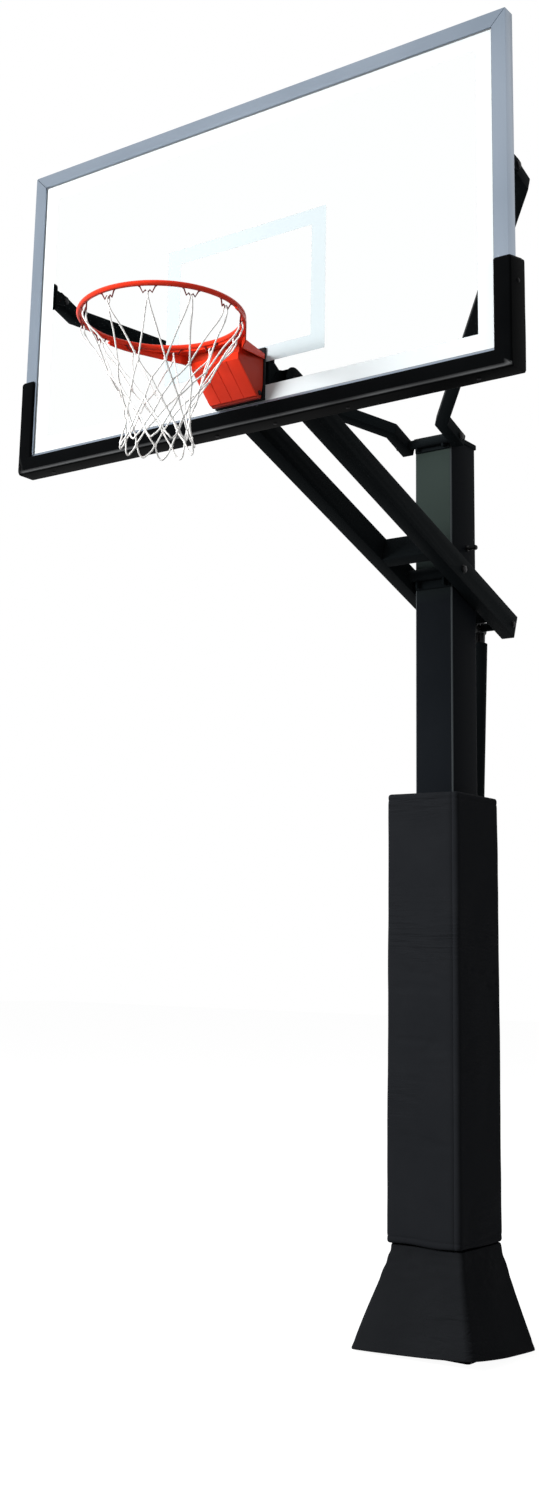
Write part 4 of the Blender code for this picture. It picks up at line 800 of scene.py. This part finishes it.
for name, body, shank, head in BOLTS:
    low, high = (Vector(corner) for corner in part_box(name))
    middle = (low + high) / 2
    radius = (high.z - low.z) / 2
    if name == "post_cross_bolt":
        radius = CROSS_HEAD
    bm = bmesh.new()
    add_disc(bm, 24, shank, low.x + head * 0.2, high.x - SEAT_GAP, middle, shank * 0.16)
    for side, end in ((-1, low.x), (1, high.x)):
        seat = end - side * head
        washer = seat + side * head * WASHER_SHARE
        face = end if side < 0 else end - side * head * THREAD_SHARE
        add_disc(bm, 28, radius * 0.98, seat, washer, middle)
        add_disc(bm, 6, radius * 0.90, washer, face, middle, radius * 0.11)
        if name == "post_cross_bolt":
            nut = side * (POST_HALF + SEAT_GAP)
            add_disc(bm, 6, CROSS_NUT, nut, nut + side * CROSS_NUT_T, middle, 0.0010)
    piece = new_piece(name + "_turned", bm, plated, body, 30.0)
    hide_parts(name)
print("bolts", len(BOLTS))

# %% [markdown]
# ## Backboard pad
# The pad is one moulding of soft foam with a smooth skin. Its section is a channel that grips the frame rail:
# a front wall, an outer wall and a rear wall. One face of that section is extruded down one side, along the
# bottom and up the other side, with a mitre at each corner, and then the edges are rounded. The tops slant,
# higher at the rear. Last, the long walls are cut into short lengths so that a slow noise can make them uneven,
# and the lower front edge is marked for a painted highlight.

# %% Moulded pad on the lower edge of the board
PAD_OUT = 0.0105
PAD_FRONT_Y = FACE_Y - PAD_OUT
PAD_REAR_Y = FACE_Y + 0.080
PAD_HALF = BOARD_W / 2 + PAD_OUT
PAD_LOW_Z = EDGE_Z - 0.018
PAD_TOP_Z = EDGE_Z + 0.305
PAD_SLANT = 0.019
PAD_LIP = 0.056
PAD_CUT = 0.030
PAD_DENT = 0.0008
PAD_PIT = 0.0003
TINY = 1e-5
PAD_SECTION = (  # inward at the sides, upward at the bottom, depth
    (0.0, 0.0, PAD_FRONT_Y),
    (PAD_LIP, PAD_LIP, PAD_FRONT_Y),
    (PAD_LIP, PAD_LIP, FACE_Y - 0.0008),
    (0.0098, 0.0172, FACE_Y - 0.0008),
    (0.0098, 0.0172, PAD_REAR_Y - 0.012),
    (0.0400, 0.0480, PAD_REAR_Y - 0.012),
    (0.0400, 0.0480, PAD_REAR_Y),
    (0.0, 0.0, PAD_REAR_Y),
)


def top_station(side):
    depth = PAD_REAR_Y - PAD_FRONT_Y
    return [Vector((side * (PAD_HALF - a), y, PAD_TOP_Z + PAD_SLANT * (y - PAD_FRONT_Y) / depth))
            for a, b, y in PAD_SECTION]


def corner_station(side):
    return [Vector((side * (PAD_HALF - a), y, PAD_LOW_Z + b)) for a, b, y in PAD_SECTION]


def extrude_to(bm, face, before, after):
    """Extrudes one end face and moves each of its corners from the old place to the new one."""
    made = bmesh.ops.extrude_face_region(bm, geom=[face])
    for vert in [v for v in made["geom"] if isinstance(v, bmesh.types.BMVert)]:
        number = min(range(len(before)), key=lambda i: (vert.co - before[i]).length)
        vert.co = after[number]
    return [f for f in made["geom"] if isinstance(f, bmesh.types.BMFace)][0]


def round_off(bm, test, radius, segments, longest=10.0):
    """Rounds the sharp edges whose two ends pass the test, and says how many there are."""
    edges = [e for e in bm.edges if len(e.link_faces) == 2 and e.calc_face_angle() > 0.7
             and e.calc_length() < longest and all(test(vert.co) for vert in e.verts)]
    round_edges(bm, edges, radius, segments)
    return len(edges)


def at_top(co):
    return co.z > PAD_TOP_Z - 1e-4


def cut_across(bm, place, direction):
    bmesh.ops.bisect_plane(bm, geom=bm.verts[:] + bm.edges[:] + bm.faces[:], plane_co=place, plane_no=direction,
                           dist=0.0005)


# %% The pad's one face, extruded and rounded
stations = [top_station(-1), corner_station(-1), corner_station(1), top_station(1)]
bm = bmesh.new()
end = bm.faces.new([bm.verts.new(place) for place in stations[0]])
for before, after in zip(stations, stations[1:]):
    end = extrude_to(bm, end, before, after)
face_outward(bm)
PAD_ROUNDS = (  # where, radius, segments, longest edge; each row works on what the rows before it left
    (lambda co: abs(abs(co.x) - PAD_HALF) < TINY and abs(co.z - PAD_LOW_Z) < TINY, 0.016, 6),
    (lambda co: co.y < FACE_Y and abs(co.z - PAD_LOW_Z - PAD_LIP) < TINY, 0.007, 4, 0.02),
    (lambda co: at_top(co) and abs(abs(co.x) - PAD_HALF) < TINY, 0.010, 5),
    (lambda co: at_top(co) and co.y < FACE_Y and abs(abs(co.x) - PAD_HALF + PAD_LIP) < TINY, 0.008, 4),
    (lambda co: co.y < PAD_FRONT_Y + TINY, 0.0075, 5),
    (lambda co: co.y > PAD_REAR_Y - TINY, 0.0050, 3),
    (lambda co: co.z > PAD_TOP_Z - 0.012, 0.0040, 3),
)
print("rounded edges", sum(round_off(bm, *row) for row in PAD_ROUNDS))

# %% The pad's uneven skin and its painted edge highlight
for number in range(-30, 31):
    cut_across(bm, (number * PAD_CUT, 0, 0), (1, 0, 0))
for number in range(9):
    cut_across(bm, (0, 0, PAD_LOW_Z + 0.070 + number * 0.025), (0, 0, 1))
bm.normal_update()
for vert in bm.verts:
    gap = noise.noise(vert.co * 6.0) * PAD_DENT + noise.noise(vert.co * 19.0) * PAD_PIT
    vert.co += vert.normal * min(0.0, gap - 0.0004)
# Painted highlight: marks where the lower front rounding would catch the light, in patches.
edge_highlight = bm.verts.layers.float.new("painted_edge_highlight")
bm.normal_update()
for vert in bm.verts:
    lean = -vert.normal.y if vert.normal.z < -0.25 and vert.co.z < PAD_LOW_Z + 0.02 else 0.0
    patch = 0.65 + 0.35 * noise.noise(vert.co * 7.0)
    vert[edge_highlight] = max(0.0, 1.0 - abs(lean - 0.72) / 0.22) * patch
board_pad = new_piece("moulded_pad", bm, foam_skin, "board", 50.0)
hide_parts("backboard_pad")
print("pad faces", len(board_pad.data.polygons))

# %% [markdown]
# ## Post wrap
# The wrap is thick foam in a coated cloth cover, folded round the front and the sides of the post. Its outline is
# drawn once as a closed ring, with rounded corners and three close points where the cover is sewn near the right
# front corner. The ring is extruded upward in short steps. Then every outer point moves along its normal: the ends
# are rounded in, the seam and the two hems are pulled in, and a stretched noise gives the long level creases,
# which are deepest at mid height and fade near the corners, so the outline stays straight.

# %% Rings that are raised step by step
POST_Y = 0.090


def outline_ring(corners, rounded, radius, spacing):
    """A closed ring of edges with some corners rounded, cut into short edges."""
    bm = bmesh.new()
    points = [bm.verts.new((x, y, 0.0)) for x, y in corners]
    bm.faces.new(points)
    bmesh.ops.bevel(bm, geom=[points[i] for i in rounded], offset=radius, offset_type="OFFSET", segments=6,
                    profile=0.5, affect="VERTICES", material=-1)
    bmesh.ops.delete(bm, geom=bm.faces[:], context="FACES_ONLY")
    for edge in bm.edges[:]:
        cuts = int(edge.calc_length() / spacing)
        if cuts:
            bmesh.ops.subdivide_edges(bm, edges=[edge], cuts=cuts)
    return bm


def raise_ring(bm, edges, height):
    """Extrudes a ring of edges straight up by a height and gives the new ring."""
    made = bmesh.ops.extrude_edge_only(bm, edges=edges)["geom"]
    fresh = {g for g in made if isinstance(g, bmesh.types.BMVert)}
    for vert in fresh:
        vert.co.z += height
    return [g for g in made if isinstance(g, bmesh.types.BMEdge) and all(v in fresh for v in g.verts)]


# %% Padded wrap round the post
WRAP_HALF = 0.140
WRAP_FRONT_Y = -0.1775
WRAP_BACK_Y = 0.1225
WRAP_LOW = 0.335
WRAP_HIGH = 1.812
WRAP_ROUND = 0.016
SEAM_X = 0.116
SEAM_POINT = 0.003
END_ROUND = 0.010
HEM = 0.022
POST_GAP = 0.0012
INNER = POST_HALF + POST_GAP
STITCH_WIDTH = 0.0030
HEM_DEPTH = 0.0016
SEAM_DEPTH = 0.0034
FOLD_DEPTH = 0.0075
CORNER_FADE = 0.045
LEVEL_STEP = 0.009
LOW_FADE = 0.05
corners = ((-WRAP_HALF, WRAP_BACK_Y), (-WRAP_HALF, WRAP_FRONT_Y), (SEAM_X - SEAM_POINT, WRAP_FRONT_Y),
           (SEAM_X, WRAP_FRONT_Y), (SEAM_X + SEAM_POINT, WRAP_FRONT_Y), (WRAP_HALF, WRAP_FRONT_Y),
           (WRAP_HALF, WRAP_BACK_Y), (INNER, WRAP_BACK_Y), (INNER, -POST_Y - POST_GAP),
           (-INNER, -POST_Y - POST_GAP), (-INNER, WRAP_BACK_Y))
bm = outline_ring(corners, (0, 1, 5, 6), WRAP_ROUND, 0.010)
levels = [WRAP_LOW + step for step in (0.0, 0.0015, 0.004, 0.010, HEM - 0.003, HEM, HEM + 0.003)]
levels += [WRAP_LOW + HEM + LEVEL_STEP * (step + 1) for step in range(158)]
levels += [WRAP_HIGH - step for step in (HEM + 0.003, HEM, HEM - 0.003, 0.010, 0.004, 0.0015, 0.0)]
levels = sorted({round(level, 5) for level in levels})
bmesh.ops.translate(bm, verts=bm.verts, vec=(0, 0, levels[0]))
ring_edges = bm.edges[:]
for before, after in zip(levels, levels[1:]):
    ring_edges = raise_ring(bm, ring_edges, after - before)
face_outward(bm)
bm.normal_update()


def wrap_depth(co):
    """How far the cover moves along its normal at one point, in metres."""
    near_end = min(co.z - WRAP_LOW, WRAP_HIGH - co.z)
    gap = max(0.0, END_ROUND - near_end)
    move = -(END_ROUND - math.sqrt(max(0.0, END_ROUND ** 2 - gap ** 2)))
    hem = math.exp(-((near_end - HEM) / STITCH_WIDTH) ** 2)
    seam = math.exp(-((co.x - SEAM_X) / STITCH_WIDTH) ** 2) if co.y < WRAP_FRONT_Y + 0.001 else 0.0
    move -= HEM_DEPTH * hem + SEAM_DEPTH * seam
    middle = 0.22 + math.exp(-((co.z - 1.06) / 0.30) ** 2)
    wander = Vector((co.x * 2.6, co.y * 2.6, co.z * 21.0))
    wander.z += noise.noise(co * 4.0) * 0.9
    crease = max(0.0, 1.0 - abs(noise.noise(wander)) * 7.0)
    from_corner = max(WRAP_HALF - abs(co.x), min(co.y - WRAP_FRONT_Y, WRAP_BACK_Y - co.y))
    crease *= min(1.0, from_corner / CORNER_FADE)
    move -= FOLD_DEPTH * middle * crease * crease * max(0.0, noise.noise(co * 5.0 + Vector((3, 1, 7))) + 0.25)
    soft = noise.noise(co * 3.0) * 0.0020 + noise.noise(co * 9.0) * 0.0010
    return move + soft - 0.0010


for vert in bm.verts:
    co = vert.co
    if abs(co.x) > INNER + 0.012 or co.y < -POST_Y - 0.020:
        vert.co = co + vert.normal * wrap_depth(co)
    if co.z < WRAP_LOW + LOW_FADE:
        fade = (WRAP_LOW + LOW_FADE - co.z) / LOW_FADE
        vert.co.z += fade * (0.0022 + 0.0020 * math.sin(co.x * 31.0 + co.y * 17.0))
bmesh.ops.holes_fill(bm, edges=[e for e in bm.edges if e.is_boundary], sides=0)
face_outward(bm)
wrap = new_piece("post_wrap", bm, wrap_vinyl, "post", 60.0)
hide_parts("post_pad")
print("wrap faces", len(wrap.data.polygons))

# %% [markdown]
# ## Foot of the wrap
# A flared skirt of the same cover stands on the ground under the wrap and hides the base plate. It is a ring
# again, raised in steps that shrink it, so the four sides lean in. Its hem rises evenly toward the right front
# corner and is pulled in there, the other corners are lifted a little, the cloth has slow waves, and it is
# gathered in level folds near the top, where the wrap presses on it.

# %% Flared foot
FOOT_HALF = 0.241
FOOT_TOP_HALF = 0.1355
FOOT_Y = (-0.249, 0.170)
FOOT_TOP_Y = (-0.160, 0.1225)
FOOT_LOW_Z = 0.0055
FOOT_TOP_Z = 0.3340
FOOT_ROUND = 0.030
FOOT_STEPS = 30
FOOT_LIFT = 0.027
FOOT_PINCH = 0.028
FOOT_HEM = 0.024
FOOT_WAVE = 0.0035
FOOT_FOLD = 0.0085
low_middle = (FOOT_Y[0] + FOOT_Y[1]) / 2
top_middle = (FOOT_TOP_Y[0] + FOOT_TOP_Y[1]) / 2
low_deep = (FOOT_Y[1] - FOOT_Y[0]) / 2
top_deep = (FOOT_TOP_Y[1] - FOOT_TOP_Y[0]) / 2
corners = [(x * FOOT_HALF, y) for x, y in ((-1, FOOT_Y[1]), (-1, FOOT_Y[0]), (1, FOOT_Y[0]), (1, FOOT_Y[1]))]
bm = outline_ring(corners, (0, 1, 2, 3), FOOT_ROUND, 0.013)
for vert in bm.verts:
    vert.co = Vector((vert.co.x / FOOT_HALF, (vert.co.y - low_middle) / low_deep, 0.0))


def foot_place(unit, share):
    """Where a point of the unit outline is, at a share of the height."""
    lean = share + 0.10 * share * (1.0 - share)
    half = FOOT_HALF + (FOOT_TOP_HALF - FOOT_HALF) * lean
    deep = low_deep + (top_deep - low_deep) * lean
    middle = low_middle + (top_middle - low_middle) * lean
    corner = abs(unit.x * unit.y) ** 4
    pinch = (max(0.0, unit.x) * max(0.0, -unit.y)) ** 1.5 * (1.0 - share)
    lift = (1.0 + unit.x) * (1.0 - unit.y) / 4
    curl = (0.003 * corner + FOOT_LIFT * lift) * (1.0 - share) ** 2
    z = FOOT_LOW_Z + (FOOT_TOP_Z - FOOT_LOW_Z) * share + curl
    return Vector((unit.x * half - FOOT_PINCH * pinch, middle + unit.y * deep, z))


ring_edges = bm.edges[:]
for number in range(FOOT_STEPS):
    ring_edges = raise_ring(bm, ring_edges, 1.0 / FOOT_STEPS)
for vert in bm.verts:
    unit = Vector((vert.co.x, vert.co.y, 0.0))
    vert.co = foot_place(unit, vert.co.z)
face_outward(bm)
bm.normal_update()
for vert in bm.verts:
    co = vert.co
    share = (co.z - FOOT_LOW_Z) / (FOOT_TOP_Z - FOOT_LOW_Z)
    folds = noise.noise(Vector((co.x * 9.0, co.y * 9.0, co.z * 34.0 + noise.noise(co * 8.0) * 1.2)))
    waves = noise.noise(co * 5.0) * FOOT_WAVE
    hem = math.exp(-((co.z - FOOT_LOW_Z - FOOT_HEM) / 0.005) ** 2)
    move = waves - FOOT_FOLD * max(0.0, 1.0 - abs(folds) * 4.0) * max(0.0, share - 0.45) - 0.0012 * hem - 0.0022
    vert.co = co + vert.normal * move * min(1.0, (1.0 - share) * 12.0 + 0.25)
foot = new_piece("wrap_foot", bm, foot_vinyl, "post", 70.0)
shell = foot.modifiers.new("cloth_wall", "SOLIDIFY")
shell.thickness = 0.005
shell.offset = -1.0
shell.use_even_offset = True
soften = foot.modifiers.new("soften", "SUBSURF")
soften.levels = 1
soften.render_levels = 1
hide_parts("post_pad_foot")
print("foot faces", len(foot.data.polygons))

# %% [markdown]
# ## Rear straps
# Two flat straps of woven webbing close the wrap behind the post. A strap is a thin cut strip, so it is a flat
# grid that is bent a little, thickened, and given its own UV map in metres for the weave. Each end is sewn down
# with a box of short stitches.

# %% Webbing straps and stitches
STRAP_Z = (0.760, 1.474)
STRAP_HALF = 0.025
STRAP_END = WRAP_HALF - 0.014
STRAP_Y = WRAP_BACK_Y + 0.0004
STRAP_T = 0.0026
STRAP_BOW = 0.0006
STRAP_CURL = 0.0012
STITCH_R = 0.0007
STITCH_LONG = 0.0044
STITCHES = 24  # on each end: four rows of six, two level and two upright


def strap_y(x):
    """The strap lies on the foam at each end and stands out a little over the open slot."""
    return STRAP_Y - 0.0004 + STRAP_BOW * math.cos(x / STRAP_END * math.pi)


for number, height in enumerate(STRAP_Z):
    bm = bmesh.new()
    bmesh.ops.create_grid(bm, x_segments=36, y_segments=4, size=1.0)
    for vert in bm.verts:
        x, z = vert.co.x * STRAP_END, vert.co.y * STRAP_HALF
        vert.co = Vector((x, strap_y(x), height + z + noise.noise(Vector((x * 9.0, 0, number))) * STRAP_CURL))
    face_outward(bm)
    bmesh.ops.solidify(bm, geom=bm.faces[:], thickness=STRAP_T)
    face_outward(bm)
    lowest = min(vert.co.y for vert in bm.verts)
    bmesh.ops.translate(bm, verts=bm.verts, vec=(0, STRAP_Y - 0.0002 - lowest, 0))
    weave_map = bm.loops.layers.uv.new("weave")
    for face in bm.faces:
        for loop in face.loops:
            loop[weave_map].uv = (loop.vert.co.x, loop.vert.co.z)
    strap = new_piece("wrap_strap_" + str(number + 1), bm, webbing, "post", 40.0)
    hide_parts("pad_strap_" + str(number + 1))
    bm = bmesh.new()
    for side in (-1, 1):
        for step in range(STITCHES):
            row, along = divmod(step, 6)
            upright = row > 1
            x = side * (STRAP_END - 0.010 - (0.036 * (row - 2) if upright else 0.0072 * along))
            z = height + ((along - 2.5) * 0.0064 if upright else (row * 2 - 1) * 0.0195)
            turn = Matrix.Rotation(math.pi / 2, 4, "Y") if not upright else Matrix.Identity(4)
            place = Matrix.Translation((x, STRAP_Y + STRAP_T + 0.0008, z)) @ turn
            bmesh.ops.create_cone(bm, cap_ends=True, segments=6, radius1=STITCH_R, radius2=STITCH_R,
                                  depth=STITCH_LONG, matrix=place)
    new_piece("strap_stitches_" + str(number + 1), bm, thread, "post", 50.0)
print("straps", STRAP_Z)
